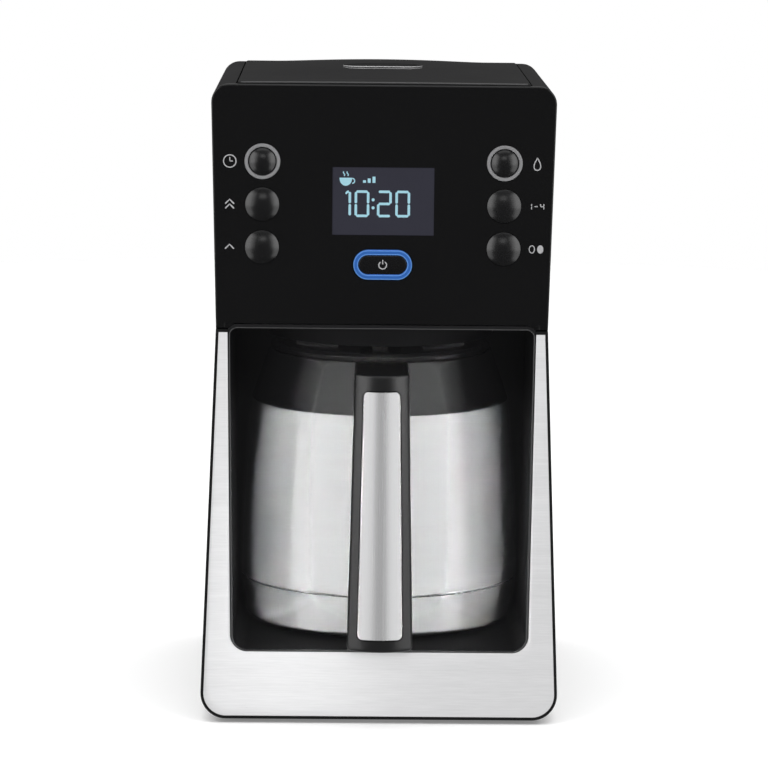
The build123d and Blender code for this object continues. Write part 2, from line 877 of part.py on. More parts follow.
def make_heater_clamps():
    """Sheet straps that hold the heater's legs down on the pan."""
    middle = heater_y + heater_leg / 2 + clamp_width
    depth = (middle, middle + clamp_width)
    top = heater_z + heater_height + trim_gap
    reach = heater_width / 2 + fit_gap
    clamps = []
    for side in (-1, 1):
        x = side * heater_radius
        outside = reach + clamp_sheet
        strap = block((x - outside, x + outside), depth, (pan_floor_z, top + clamp_sheet))
        strap -= block((x - reach, x + reach), depth, (pan_floor_z, top))
        for way in (-1, 1):
            foot = sorted((x + way * outside, x + way * (outside + clamp_foot)))
            strap += block(foot, depth, (pan_floor_z, pan_floor_z + clamp_sheet))
        clamps.append(strap)
    return Compound(children=clamps)


def make_thermostat():
    top = heater_z + heater_height
    disc = column(0, heater_y - heater_radius, (top, top + thermostat_height), thermostat_radius)
    return fillet(disc.edges().group_by(Axis.Z)[-1], clamp_sheet)


def make_thermal_fuses():
    z = heater_z + heater_height + fuse_radius + trim_gap
    return Compound(children=[
        rod_y(side * heater_radius, (heater_y, heater_y + fuse_length), z, fuse_radius) for side in (-1, 1)
    ])


def make_outlet_hose():
    rise = hose_z + 2 * hose_bend + spigot_length / 2
    return tube_along(
        [(-heater_radius, heater_end_y + fit_gap, hose_z), (-heater_radius, riser_y, hose_z),
         (riser_x, riser_y, hose_z), (riser_x, riser_y, rise)],
        hose_bend, hose_radius, hose_bore,
    )


def make_riser_tube():
    low = hose_z + hose_bend + spigot_length / 2
    tube = column(riser_x, riser_y, (low, dock_z - fit_gap), spigot_radius)
    return tube - column(riser_x, riser_y, (low, dock_z), spigot_bore)


def make_riser_seal():
    top = dock_z
    seal = column(riser_x, riser_y, (top - seal_length, top), seal_radius)
    return seal - column(riser_x, riser_y, (top - seal_length, top), spigot_radius + trim_gap)


def make_power_board():
    """Board on four posts, with relay, choke and terminals standing on it."""
    low = pan_floor_z + power_post
    top = low + board_thickness
    middle = axis_y - power_board_setback
    half_x, half_y = power_board_size[0] / 2, power_board_size[1] / 2
    board = block((-half_x, half_x), (middle - half_y, middle + half_y), (low, top))
    for size, x in ((relay_size, relay_x), (choke_size, choke_x), (terminal_size, terminal_x)):
        board += block((x - size[0] / 2, x + size[0] / 2), (middle - size[1] / 2, middle + size[1] / 2),
                       (low, top + size[2]))
    return board


def make_cord_gland():
    """Bush in the rear wall that the mains lead passes through."""
    inside = rear_y - wall
    gland = gland_hole(gland_radius, inside - gland_flange_thickness)
    gland += rod_y(gland_x, (inside - gland_flange_thickness, inside), gland_z, gland_flange)
    return gland - gland_hole(gland_bore, rear_y - far)


def make_top_deck():
    """Inner deck under the lid that carries the tank and the basket holder."""
    half = side_half(deck_z) - wall - fit_gap
    front = panel_back_y + fit_gap
    rear = rear_y - wall - fit_gap
    plan = Pos(0, (front + rear) / 2) * Rectangle(2 * half, rear - front)
    plan = fillet(plan.vertices().group_by(Axis.Y)[-1], rear_round - wall)
    deck = extrude(Pos(0, 0, deck_z) * plan, amount=deck_thickness)
    deck -= column(0, axis_y, (deck_z, deck_top_z), holder_radius - holder_wall)
    for part in tank_plan(tank_wall):
        deck -= extrude(Pos(0, 0, deck_z) * part, amount=deck_thickness)
    return deck - column(riser_x, riser_y, (deck_z, deck_top_z), seal_radius + fit_gap)


def funnel_z(radius):
    """Height of the funnel's upper face at a radius."""
    inner = holder_radius - holder_wall
    return skirt_z + funnel_rise + funnel_fall * (radius - inner) / (inner - tube_radius)


def make_basket_holder():
    """Round cup under the deck: skirt, funnel and the tube of the drip stop."""
    inner = holder_radius - holder_wall
    tube_out = tube_radius + tube_wall
    return turned(
        (holder_radius, deck_z), (holder_radius, skirt_z), (inner, skirt_z),
        (inner, funnel_z(inner) - funnel_wall), (tube_out, funnel_z(tube_out) - funnel_wall),
        (tube_out, skirt_z), (drip_hole, skirt_z), (drip_hole, skirt_z + tube_floor),
        (tube_radius, skirt_z + tube_floor), (tube_radius, funnel_z(tube_radius)),
        (inner, funnel_z(inner)), (inner, deck_z),
    )


def basket_floor_z():
    return funnel_z(basket_foot_radius) + fit_gap


def make_filter_basket():
    """Cone that lifts out of the holder, with a rim to lift it by."""
    low = basket_floor_z()
    rim_top = deck_z - basket_rim_drop
    rim_low = rim_top - basket_rim_height
    bend = rim_low - basket_rim_depth
    rim = holder_radius - holder_wall - fit_gap
    return turned(
        (drip_hole, low), (basket_foot_radius, low), (basket_neck, bend), (basket_neck, rim_low),
        (rim, rim_low), (rim, rim_top), (basket_neck - basket_wall, rim_top),
        (basket_neck - basket_wall, bend), (basket_foot_radius - basket_wall, low + basket_wall),
        (drip_hole, low + basket_wall),
    )


def make_permanent_filter():
    """Fine cone inside the basket that holds the grounds."""
    low = basket_floor_z() + basket_wall + filter_gap
    top = deck_z - basket_rim_drop
    bend = top - basket_rim_height - basket_rim_depth
    foot = basket_foot_radius - basket_wall - filter_gap
    neck = basket_neck - basket_wall - filter_gap
    return turned(
        (0, low), (foot, low), (neck, bend), (neck, top), (neck - filter_wall, top),
        (neck - filter_wall, bend), (foot - filter_wall, low + filter_wall), (0, low + filter_wall),
    )


def valve_disc_z():
    """Underside of the drip valve's disc while the carafe holds it open."""
    return skirt_z + tube_floor + valve_seat_gap + valve_travel + valve_seal


def make_drip_valve():
    """Plunger that the carafe's lid pushes up."""
    low = boss_top_z + valve_gap
    disc = valve_disc_z()
    stem = column(0, axis_y, (low, disc), valve_stem)
    stem = fillet(stem.edges().group_by(Axis.Z)[0], valve_tip_round)
    return stem + column(0, axis_y, (disc, disc + valve_thickness), valve_disc)


def make_drip_seal():
    disc = valve_disc_z()
    seal = column(0, axis_y, (disc - valve_seal, disc), valve_disc - trim_gap)
    return seal - column(0, axis_y, (disc - valve_seal, disc), valve_stem + trim_gap)


def make_drip_spring():
    return coil(drip_spring_radius, valve_disc_z() + valve_thickness + trim_gap, basket_floor_z() - trim_gap)


def lid_section(y, crown):
    """Cross-section of the lid at a depth: flat below, bevelled edges, crowned above."""
    top = lid_edge_z
    bottom = Polyline(
        (-lid_half + lid_bevel, y, top), (-lid_half, y, top - lid_bevel), (-lid_half, y, lid_bottom_z),
        (lid_half, y, lid_bottom_z), (lid_half, y, top - lid_bevel), (lid_half - lid_bevel, y, top),
    )
    arc = ThreePointArc((lid_half - lid_bevel, y, top), (0, y, top + crown), (-lid_half + lid_bevel, y, top))
    return make_face(bottom + arc)


def make_lid():
    """Crowned cover that swings on the barrel along its rear edge."""
    length = hinge_y - lid_front_y
    sections = [
        lid_section(lid_front_y, lid_crown_edge),
        lid_section(lid_front_y + length * lid_crown_place / 2, lid_crown_front),
        lid_section(lid_front_y + length * lid_crown_place, lid_crown),
        lid_section(hinge_y, lid_crown_edge),
    ]
    lid = loft(sections)
    lid += rod_x((-lid_half, lid_half), hinge_y, hinge_z, barrel_radius)
    scoop_top = Pos(0, lid_front_y + scoop_setback, lid_edge_z + 2 * lid_crown)
    scoop = scoop_top * SlotOverall(scoop_width, scoop_length)
    lid -= extrude(scoop, amount=-(scoop_depth + lid_crown), taper=scoop_taper)
    rim = lid_half - lid_rim_wall
    pocket = block((-rim, rim), (lid_front_y + lid_rim_wall, hinge_y - barrel_radius - lid_rim_wall),
                   (lid_bottom_z, lid_bottom_z + lid_plate))
    lid -= pocket
    for side in (-1, 1):
        ends = sorted((side * (lid_half - pin_depth), side * far))
        lid -= rod_x(ends, hinge_y, hinge_z, pin_radius + pin_fit)
    return lid


def make_lid_liner():
    """Plate under the lid with the covered channel from the riser to the middle."""
    rim = lid_half - lid_rim_wall - fit_gap
    plate = block(
        (-rim, rim),
        (lid_front_y + lid_rim_wall + fit_gap, hinge_y - barrel_radius - lid_rim_wall - fit_gap),
        (lid_bottom_z, lid_bottom_z + lid_plate - trim_gap),
    )
    run_x = -riser_x
    run_y = axis_y - riser_y
    length = math.hypot(run_x, run_y)
    turn = math.degrees(math.atan2(run_y, run_x))
    middle = Pos(riser_x / 2, (riser_y + axis_y) / 2, 0) * Rot(0, 0, turn)
    height = channel_height + lid_plate / 2
    channel = middle * Pos(0, 0, channel_z + height / 2) * Box(length, channel_width, height)
    bore_height = channel_height - 2 * channel_wall
    bore = Box(length, channel_width - 2 * channel_wall, bore_height)
    bore = middle * Pos(0, 0, channel_z + channel_height / 2) * bore
    liner = plate + channel
    ends = ((riser_x, riser_y), (0, axis_y))
    for x, y in ends:
        liner += column(x, y, (channel_z, lid_bottom_z + lid_plate / 2), dock_radius)
    liner -= bore
    for x, y in ends:
        liner -= column(x, y, (channel_z, lid_bottom_z - channel_wall), spigot_bore)
    return liner


def make_spray_head():
    """Perforated disc that spreads the water over the grounds."""
    top = channel_z
    disc = column(0, axis_y, (top - spray_thickness, top), spray_radius)
    disc = fillet(disc.edges().group_by(Axis.Z)[0], spray_thickness / 2)
    for circle in spray_circles:
        for step in range(spray_count):
            angle = 2 * math.pi * step / spray_count
            place = (circle * math.cos(angle), axis_y + circle * math.sin(angle))
            disc -= column(*place, (top - spray_thickness, top), spray_hole)
    return disc


def make_hinge_pins():
    opening = lid_half + lid_side_gap
    pins = []
    for side in (-1, 1):
        ends = sorted((side * (lid_half - pin_depth + fit_gap), side * (opening + boss_width - fit_gap)))
        pins.append(rod_x(ends, hinge_y, hinge_z, pin_radius))
    return Compound(children=pins)


def body_radius_arc(inset, z0, z1):
    """Bowed side of the steel body, drawn in by a thickness."""
    middle = (carafe_radius + shoulder_radius) / 2 + body_bulge - inset
    return ThreePointArc(
        (carafe_radius - inset, 0, z0), (middle, 0, (z0 + z1) / 2), (shoulder_radius - inset, 0, z1),
    )


def bowed_vessel(outer_side, outer_rest, inner_side, inner_rest):
    """Thin turned wall between two bowed sides, closed by straight runs."""
    face = make_face(outer_side + outer_rest + inner_side + inner_rest)
    return Pos(0, axis_y, 0) * revolve(face, Axis.Z)


def make_carafe_body():
    """Outer steel shell from the seam to the neck, under the collar."""
    low = seam_z + seam_gap
    inner_neck = neck_radius - sheet
    outer = body_radius_arc(0, low, shoulder_z)
    inner = body_radius_arc(sheet, low, shoulder_z)
    top = Polyline(
        (shoulder_radius, 0, shoulder_z), (neck_radius, 0, neck_z), (neck_radius, 0, mouth_z),
        (inner_neck, 0, mouth_z), (inner_neck, 0, neck_z - sheet), (shoulder_radius - sheet, 0, shoulder_z),
    )
    foot = Line((carafe_radius - sheet, 0, low), (carafe_radius, 0, low))
    return bowed_vessel(outer, top, inner, foot)


def make_carafe_base_cup():
    """Steel cup that closes the outer shell below the seam."""
    low = foot_z + foot_height
    cup = turned(
        (0, low), (cup_radius - cup_edge, low), (cup_radius, low + cup_edge), (carafe_radius, seam_z),
        (carafe_radius - sheet, seam_z), (cup_radius - sheet, low + cup_edge + sheet / 2),
        (cup_radius - cup_edge - sheet / 2, low + sheet), (0, low + sheet),
    )
    return cup


def make_carafe_flask():
    """Inner vessel, a vacuum gap inside the shell and joined to it at the neck."""
    inset = sheet + vacuum_gap
    low = foot_z + flask_floor
    edge_z = low + flask_edge
    neck = neck_radius - sheet - stem_gap
    outer = body_radius_arc(inset, edge_z, shoulder_z - vacuum_gap)
    inner = body_radius_arc(inset + sheet, edge_z, shoulder_z - vacuum_gap)
    side = carafe_radius - inset
    shoulder = shoulder_radius - inset
    top = Polyline(
        (shoulder, 0, shoulder_z - vacuum_gap), (neck, 0, neck_z - vacuum_gap), (neck, 0, mouth_z),
        (neck - sheet, 0, mouth_z), (neck - sheet, 0, neck_z - vacuum_gap - sheet),
        (shoulder - sheet, 0, shoulder_z - vacuum_gap),
    )
    floor = Polyline(
        (side - sheet, 0, edge_z), (side - flask_edge, 0, low + sheet), (0, 0, low + sheet), (0, 0, low),
        (side - flask_edge + sheet / 2, 0, low), (side, 0, edge_z),
    )
    return bowed_vessel(outer, top, inner, floor)


def make_carafe_foot():
    """Rubber ring that the carafe stands on."""
    high = foot_z + foot_height
    inner = foot_radius - foot_width
    return turned((inner, foot_z), (foot_radius, foot_z), (foot_radius, high), (inner, high))


def collar_radius(z):
    """Outer radius of the collar at a height."""
    low = shoulder_radius + collar_proud
    return low + (collar_top_radius - low) * (z - shoulder_z) / (collar_z - shoulder_z)


def handle_screw_z():
    return collar_z - arm_depth / 2


def handle_screw_head_y():
    return axis_y - neck_radius - 2 * fit_gap


def spout_plan(z, reach, half_width, tip, start):
    return make_face(Polyline(
        (-half_width, axis_y + start, z), (half_width, axis_y + start, z),
        (tip, axis_y + reach, z), (-tip, axis_y + reach, z), close=True,
    ))


def make_carafe_collar():
    """Black collar over the shoulder, with a pouring lip at the rear."""
    low = shoulder_radius + collar_proud
    collar = turned(
        (low, shoulder_z + trim_gap), (collar_top_radius, collar_z), (collar_bore, collar_z),
        (collar_bore, neck_z + fit_gap), (shoulder_radius - fit_gap, shoulder_z + 2 * fit_gap),
    )
    lip_z = collar_z - spout_drop
    start = collar_bore + sheet
    inside = collar_bore - sheet
    lip = loft([
        spout_plan(lip_z, collar_radius(lip_z) - trim_gap, spout_half_width / 2, spout_tip / 2, start),
        spout_plan(collar_z, collar_top_radius + spout_reach, spout_half_width, spout_tip, start),
    ])
    groove_half = spout_half_width - spout_wall
    groove_reach = collar_top_radius + spout_reach - spout_lip
    groove = loft([
        spout_plan(collar_z - spout_groove, collar_top_radius, groove_half / 2, spout_tip / 2, inside),
        spout_plan(collar_z + sheet, groove_reach, groove_half, spout_tip / 2, inside),
    ])
    collar = collar + lip - groove
    for side in (-1, 1):
        x = side * screw_spread
        head_y = handle_screw_head_y()
        collar -= rod_y(x, (head_y - screw_head_height, axis_y), handle_screw_z(), screw_head + stem_gap)
        collar -= rod_y(x, (head_y - handle_screw_length, axis_y), handle_screw_z(), screw_radius + stem_gap)
    return collar


def make_mouth_seal():
    """Ring on the flask's mouth that the lid's plug passes through."""
    low = mouth_z + trim_gap
    high = low + seal_height
    inner = mouth_radius - fit_gap
    outer = neck_radius - trim_gap
    return turned((inner, low), (outer, low), (outer, high), (inner, high))


def grip_section(share, forward):
    """Cross-section of the grip; share runs from 0 at the foot to 1 at the top."""
    low = foot_z + handle_foot
    z = low + share * (collar_z - low)
    half = (handle_foot_width + share * (handle_top_width - handle_foot_width)) / 2
    front = axis_y - handle_reach + handle_lean * share * share - forward
    back = front + handle_depth
    rest = Polyline(
        (half, front + handle_crown, z), (half, back, z), (-half, back, z), (-half, front + handle_crown, z),
    )
    crown = ThreePointArc((-half, front + handle_crown, z), (0, front, z), (half, front + handle_crown, z))
    return make_face(rest + crown)


def grip(forward):
    """Bowed grip of the handle, moved forward by a small step."""
    return loft([grip_section(share / 2, forward) for share in range(3)])


def inlay_outline(grow):
    """Front view of the steel inlay, grown by a margin."""
    high = collar_z - inlay_top_margin + grow
    low = foot_z + handle_foot + inlay_foot_margin - grow
    right = [(inlay_foot_width / 2 + grow, low), (inlay_top_width / 2 + grow, high)]
    left = [(-x, z) for x, z in reversed(right)]
    outline = make_face(Polyline(*right, *left, close=True))
    return fillet(outline.vertices(), inlay_corner + grow)


def inlay_space(grow, forward):
    """Column of space in front of the inlay's bed."""
    front = axis_y - handle_reach
    space = front_prism(inlay_outline(grow), front - handle_depth, front + handle_lean + handle_crown)
    return space - grip(inlay_proud - inlay_thickness - forward)


def make_carafe_handle():
    """Grip open at its lower end, with the arm that runs back to the collar."""
    half = handle_top_width / 2
    solid = grip(0)
    foot_edges = solid.edges().group_by(Axis.Z)[0]
    solid = fillet(foot_edges, handle_foot_round)
    arm_front = axis_y - handle_reach + handle_lean + handle_crown
    arm = block((-half, half), (arm_front, axis_y - neck_radius), (collar_z - arm_depth, collar_z))
    rounding_y = axis_y - handle_reach + handle_lean + handle_depth
    corner = block((-half, half), (rounding_y - arm_round, rounding_y + arm_round),
                   (collar_z - arm_depth - arm_round, collar_z - arm_depth))
    corner -= rod_x((-far, far), rounding_y + arm_round, collar_z - arm_depth - arm_round, arm_round)
    solid = solid + arm + corner
    cone_foot = collar_radius(shoulder_z) + trim_gap
    cone_top = collar_radius(collar_z) + trim_gap
    solid -= turned(
        (0, shoulder_z), (cone_foot, shoulder_z), (cone_top, collar_z), (cone_top, collar_z + sheet),
        (0, collar_z + sheet),
    )
    solid -= inlay_space(inlay_gap, trim_gap)
    screw_y = handle_screw_head_y()
    hole = (screw_y - handle_screw_length - sheet, screw_y)
    for side in (-1, 1):
        solid -= rod_y(side * screw_spread, hole, handle_screw_z(), screw_radius + trim_gap)
    return solid


def make_handle_inlay():
    return inlay_space(0, 0) & grip(inlay_proud)


def make_handle_screws():
    head_y = handle_screw_head_y()
    screws = []
    for side in (-1, 1):
        x = side * screw_spread
        head = rod_y(x, (head_y - screw_head_height + fit_gap, head_y), handle_screw_z(), screw_head)
        screws.append(head + rod_y(x, (head_y - handle_screw_length, head_y), handle_screw_z(), screw_radius))
    return Compound(children=screws)


def make_carafe_lid():
    """Screw-in lid: dished top with finger ribs, drains, and a plug with a bridge for the valve."""
    flange = collar_top_radius - lid_inset
    plug = mouth_radius - plug_gap
    inner = plug - plug_wall
    dish = cap_top_z - lid_dish
    under = dish - lid_skin
    foot = cap_z - plug_depth
    rim = flange - lid_chamfer
    bore = brew_valve_stem + stem_gap
    lid = turned(
        (0, boss_top_z - lid_skin / 2), (bore, boss_top_z - lid_skin / 2), (bore, under), (inner, under),
        (inner, foot), (plug, foot), (plug, cap_z), (flange, cap_z), (flange, cap_z + lid_flange),
        (rim, cap_top_z), (rim - lid_rim_width, cap_top_z), (rim - lid_rim_width - lid_dish, dish),
        (boss_radius, dish), (boss_radius, boss_top_z), (0, boss_top_z),
    )
    for side in (-1, 1):
        rib = block(sorted((side * rib_start, side * (rib_start + rib_length))),
                    (axis_y - rib_width / 2, axis_y + rib_width / 2), (under, cap_top_z + rib_rise))
        rib = fillet(rib.edges().group_by(Axis.Z)[-1], rib_round)
        lid += rib
    bridge_half = inner + plug_wall / 2
    bridge_depth = (axis_y - bridge_width / 2, axis_y + bridge_width / 2)
    lid += block((-bridge_half, bridge_half), bridge_depth, (foot, foot + bridge_height))
    for step in range(drain_count):
        angle = math.pi * (2 * step + 1) / drain_count
        place = (drain_circle * math.cos(angle), axis_y + drain_circle * math.sin(angle))
        lid -= column(*place, (under, dish), drain_radius)
    low = gasket_z()
    high = low + gasket_height
    return lid - turned((plug - sheet, low), (flange, low), (flange, high), (plug - sheet, high))


def gasket_z():
    return cap_z - gasket_drop


def make_lid_gasket():
    """Soft ring in the plug's groove."""
    plug = mouth_radius - plug_gap
    low = gasket_z() + trim_gap
    high = gasket_z() + gasket_height - trim_gap
    inner = plug - sheet + trim_gap
    outer = mouth_radius - fit_gap - fit_gap
    return turned((inner, low), (outer, low), (outer, high), (inner, high))


def brew_valve_z():
    """Top of the brew-through valve's disc when it closes the drains."""
    return cap_top_z - lid_dish - lid_skin - fit_gap


def make_brew_valve():
    """Disc below the drains, guided by a stem in the lid's boss."""
    top = brew_valve_z()
    low = top - brew_valve_thickness
    disc = column(0, axis_y, (low, top), brew_valve_radius)
    disc += column(0, axis_y, (top, boss_top_z - lid_skin / 2 - fit_gap), brew_valve_stem)
    return disc + column(0, axis_y, (low - brew_valve_tail, low), brew_valve_stem)


def make_brew_valve_spring():
    low = cap_z - plug_depth + bridge_height + trim_gap
    return coil(brew_spring_radius, low, brew_valve_z() - brew_valve_thickness - trim_gap)


pieces = {
    "housing": make_housing(),
    "base_pan": make_base_pan(),
    "rubber_feet": make_rubber_feet(),
    "base_screws": make_base_screws(),
    "trim_carrier": make_trim_carrier(),
    "front_trim": make_front_trim(),
    "bay_liner": make_bay_liner(),
    "carafe_pad": make_carafe_pad(),
    "control_panel": make_control_panel(),
    "indicator_rings": make_indicator_rings(),
    "brew_ring": make_brew_ring(),
    "brew_button": make_brew_button(),
    "display_lens": make_display_lens(),
    "display_module": make_display_module(),
    "control_board": make_control_board(),
    "tact_switches": make_tact_switches(),
    "board_screws": make_board_screws(),
    "top_deck": make_top_deck(),
    "basket_holder": make_basket_holder(),
    "filter_basket": make_filter_basket(),
    "permanent_filter": make_permanent_filter(),
    "drip_valve": make_drip_valve(),
    "drip_seal": make_drip_seal(),
    "drip_spring": make_drip_spring(),
    "water_reservoir": make_water_reservoir(),
    "water_filter_holder": make_water_filter_holder(),
    "check_valve": make_check_valve(),
    "inlet_hose": make_inlet_hose(),
    "flow_heater": make_flow_heater(),
    "heater_clamps": make_heater_clamps(),
    "thermostat": make_thermostat(),
    "thermal_fuses": make_thermal_fuses(),
    "outlet_hose": make_outlet_hose(),
    "riser_tube": make_riser_tube(),
    "riser_seal": make_riser_seal(),
    "power_board": make_power_board(),
    "cord_gland": make_cord_gland(),
    "lid": make_lid(),
    "lid_liner": make_lid_liner(),
    "spray_head": make_spray_head(),
    "hinge_pins": make_hinge_pins(),
    "carafe_body": make_carafe_body(),
    "carafe_base_cup": make_carafe_base_cup(),
    "carafe_flask": make_carafe_flask(),
    "carafe_foot": make_carafe_foot(),
    "carafe_collar": make_carafe_collar(),
    "mouth_seal": make_mouth_seal(),
    "carafe_handle": make_carafe_handle(),
    "handle_inlay": make_handle_inlay(),
    "handle_screws": make_handle_screws(),
    "carafe_lid": make_carafe_lid(),
    "lid_gasket": make_lid_gasket(),
    "brew_valve": make_brew_valve(),
    "brew_valve_spring": make_brew_valve_spring(),
}
for name, side, row, radius in button_places():
    pieces[name] = make_button(side, row, radius)

os.makedirs("parts", exist_ok=True)
for name, solid in pieces.items():
    export_step(solid, f"parts/{name}.step")
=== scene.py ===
"""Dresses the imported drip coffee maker: surfaces, finishes and a pale studio."""
import json
import math

import bmesh
import bpy
import numpy as np
from bpy.props import FloatProperty, FloatVectorProperty, PointerProperty
from mathutils import Matrix, Vector


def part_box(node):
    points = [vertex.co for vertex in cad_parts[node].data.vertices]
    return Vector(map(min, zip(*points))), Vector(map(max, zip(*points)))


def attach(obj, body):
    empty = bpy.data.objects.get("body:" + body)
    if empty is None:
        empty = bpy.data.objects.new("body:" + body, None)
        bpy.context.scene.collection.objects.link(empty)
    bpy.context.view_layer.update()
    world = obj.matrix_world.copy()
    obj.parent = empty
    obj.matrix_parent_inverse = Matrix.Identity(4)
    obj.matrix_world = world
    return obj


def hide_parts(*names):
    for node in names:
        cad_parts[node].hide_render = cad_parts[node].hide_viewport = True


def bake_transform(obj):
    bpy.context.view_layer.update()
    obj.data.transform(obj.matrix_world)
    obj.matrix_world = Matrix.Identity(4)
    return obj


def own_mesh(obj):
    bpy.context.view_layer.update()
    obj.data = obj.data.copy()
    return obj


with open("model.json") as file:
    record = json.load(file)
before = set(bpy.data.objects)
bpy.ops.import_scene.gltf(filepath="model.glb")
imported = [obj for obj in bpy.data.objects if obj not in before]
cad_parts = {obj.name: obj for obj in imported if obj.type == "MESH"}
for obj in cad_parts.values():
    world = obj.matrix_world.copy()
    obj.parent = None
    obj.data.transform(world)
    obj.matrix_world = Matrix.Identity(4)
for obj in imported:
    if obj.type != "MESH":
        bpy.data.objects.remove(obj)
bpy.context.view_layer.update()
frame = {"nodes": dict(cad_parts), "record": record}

bl_info = {
    "name": "Drip coffee maker",
    "version": (1, 0, 0),
    "blender": (4, 5, 0),
    "location": "View3D > Sidebar > Coffee maker",
    "description": "Surfaces, finishes and studio of a drip coffee maker with a thermal carafe",
    "category": "Object",
}

MM = 0.001
# Materials by their plain names, filled by the first operator.
FINISHES = {}


# Reading the frame


def low(node):
    """Lowest corner of a node's box, in metres."""
    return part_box(node)[0]


def high(node):
    """Highest corner of a node's box, in metres."""
    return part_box(node)[1]


def middle(node):
    """Middle of a node's box, in metres."""
    return (low(node) + high(node)) / 2


def length(name, description, default):
    """A length in metres that a user can change."""
    return FloatProperty(
        name=name,
        description=description,
        default=default,
        unit="LENGTH",
        subtype="DISTANCE",
        precision=5,
    )


def shine(name, description, default):
    """A lamp's brightness that a user can change."""
    return FloatProperty(name=name, description=description, default=default, min=0.0)


def linear(red, green, blue):
    """A screen colour in bytes, as the linear values that shaders take."""
    share = np.array([red, green, blue]) / 255
    curve = np.where(share <= 0.04045, share / 12.92, ((share + 0.055) / 1.055) ** 2.4)
    return tuple(float(value) for value in curve)


def colour(name, description, red, green, blue):
    """A colour that a user can change, given in screen bytes."""
    return FloatVectorProperty(
        name=name,
        description=description,
        subtype="COLOR",
        size=3,
        min=0.0,
        max=1.0,
        default=linear(red, green, blue),
    )


AXIS_Y = middle("carafe_body").y
PANEL_Y = low("control_panel").y
WAIST_Z = low("control_panel").z

# Points of a node's triangles that are closer than this are one.
NODE_MERGE = 0.002 * MM
# How far a mark reaches into its ground.
PRINT_SUNK = 0.05 * MM


# Sizes and colours


class CarafeSizes(bpy.types.PropertyGroup):
    """Sizes of the steel carafe and its collar."""

    seam_radius: length("Seam radius", "Widest radius of the steel shell", high("carafe_body").x)
    seam_z: length("Seam height", "Height of the lower edge of the shell", low("carafe_body").z)
    shoulder_radius: length("Shoulder radius", "Radius where the shell turns in", 72.6 * MM)
    shoulder_z: length("Shoulder height", "Height where the shell turns in", 167 * MM)
    bow: length("Side bow", "How far the side swells between its ends", 1.6 * MM)
    neck_radius: length("Neck radius", "Outer radius of the neck", 58.5 * MM)
    neck_z: length("Neck height", "Height where the neck starts", 179 * MM)
    mouth_z: length("Mouth height", "Top of the neck", high("carafe_body").z)
    sheet: length("Sheet", "Thickness of the steel", 0.8 * MM)
    seam_line: length("Seam line", "How much wider the shadow line over the cup is shown", 0.3 * MM)
    cup_radius: length("Cup radius", "Radius of the base cup at its foot", 75.6 * MM)
    cup_edge: length("Cup edge", "Rounding of the base cup's foot", 3.2 * MM)
    collar_z: length("Collar foot", "Height of the collar's lower edge", low("carafe_collar").z)
    collar_top: length("Collar top", "Height of the collar's rim", high("carafe_collar").z)
    collar_foot: length("Collar foot radius", "Radius of the collar's lower edge", 73.2 * MM)
    collar_rim: length("Collar rim radius", "Radius of the collar's rim", 63.2 * MM)
    collar_bore: length("Collar bore", "Radius of the hole in the collar", 58.8 * MM)
    spout_reach: length("Spout reach", "Distance of the spout's tip from the axis", 72 * MM)
    groove: length("Spout groove", "Depth of the pouring groove", 5 * MM)


class SpringSizes(bpy.types.PropertyGroup):
    """Sizes of the two valves' springs."""

    wire: length("Wire", "Thickness of the wire", 0.9 * MM)
    pitch: length("Pitch", "Mean rise of a turn", 3.2 * MM)
    travel: length("Travel", "How far the brew valve presses its spring", 3.0 * MM)


class HandleSizes(bpy.types.PropertyGroup):
    """Sizes of the carafe handle and its steel inlay."""

    foot_z: length("Foot", "Height of the handle's lower end", low("carafe_handle").z)
    top_z: length("Top", "Height of the handle's top", high("carafe_handle").z)
    foot_half: length("Foot half width", "Half of the width at the lower end", 18.0 * MM)
    top_half: length("Top half width", "Half of the width at the top", 14.7 * MM)
    reach: length("Reach", "Distance of the front from the carafe's axis", 124 * MM)
    lean: length("Lean", "How far the front leans back at the top", 8 * MM)
    depth: length("Depth", "Thickness of the grip from front to back", 19 * MM)
    crown: length("Crown", "How far the front curves back at its sides", 6.5 * MM)
    inner_round: length("Inner corner", "Radius of the finger corner", 9 * MM)
    front_round: length("Front edges", "Rounding of the front edges", 1.1 * MM)
    back_round: length("Back edges", "Rounding of the edges that the fingers hold", 5 * MM)
    foot_round: length("Foot edges", "Rounding of the lower end", 3 * MM)
    inlay_low: length("Inlay foot", "Height of the inlay's lower end", low("handle_inlay").z)
    inlay_high: length("Inlay top", "Height of the inlay's top", high("handle_inlay").z)
    inlay_foot_half: length("Inlay foot half width", "Half width of its lower end", 12.5 * MM)
    inlay_top_half: length("Inlay top half width", "Half width of its top", 10.1 * MM)
    inlay_corner: length("Inlay corners", "Radius of the inlay's corners", 3 * MM)
    inlay_proud: length("Inlay height", "How far the inlay stands out", 0.25 * MM)
    inlay_roll: length("Inlay edge", "Width of the inlay's rolled edge", 0.9 * MM)


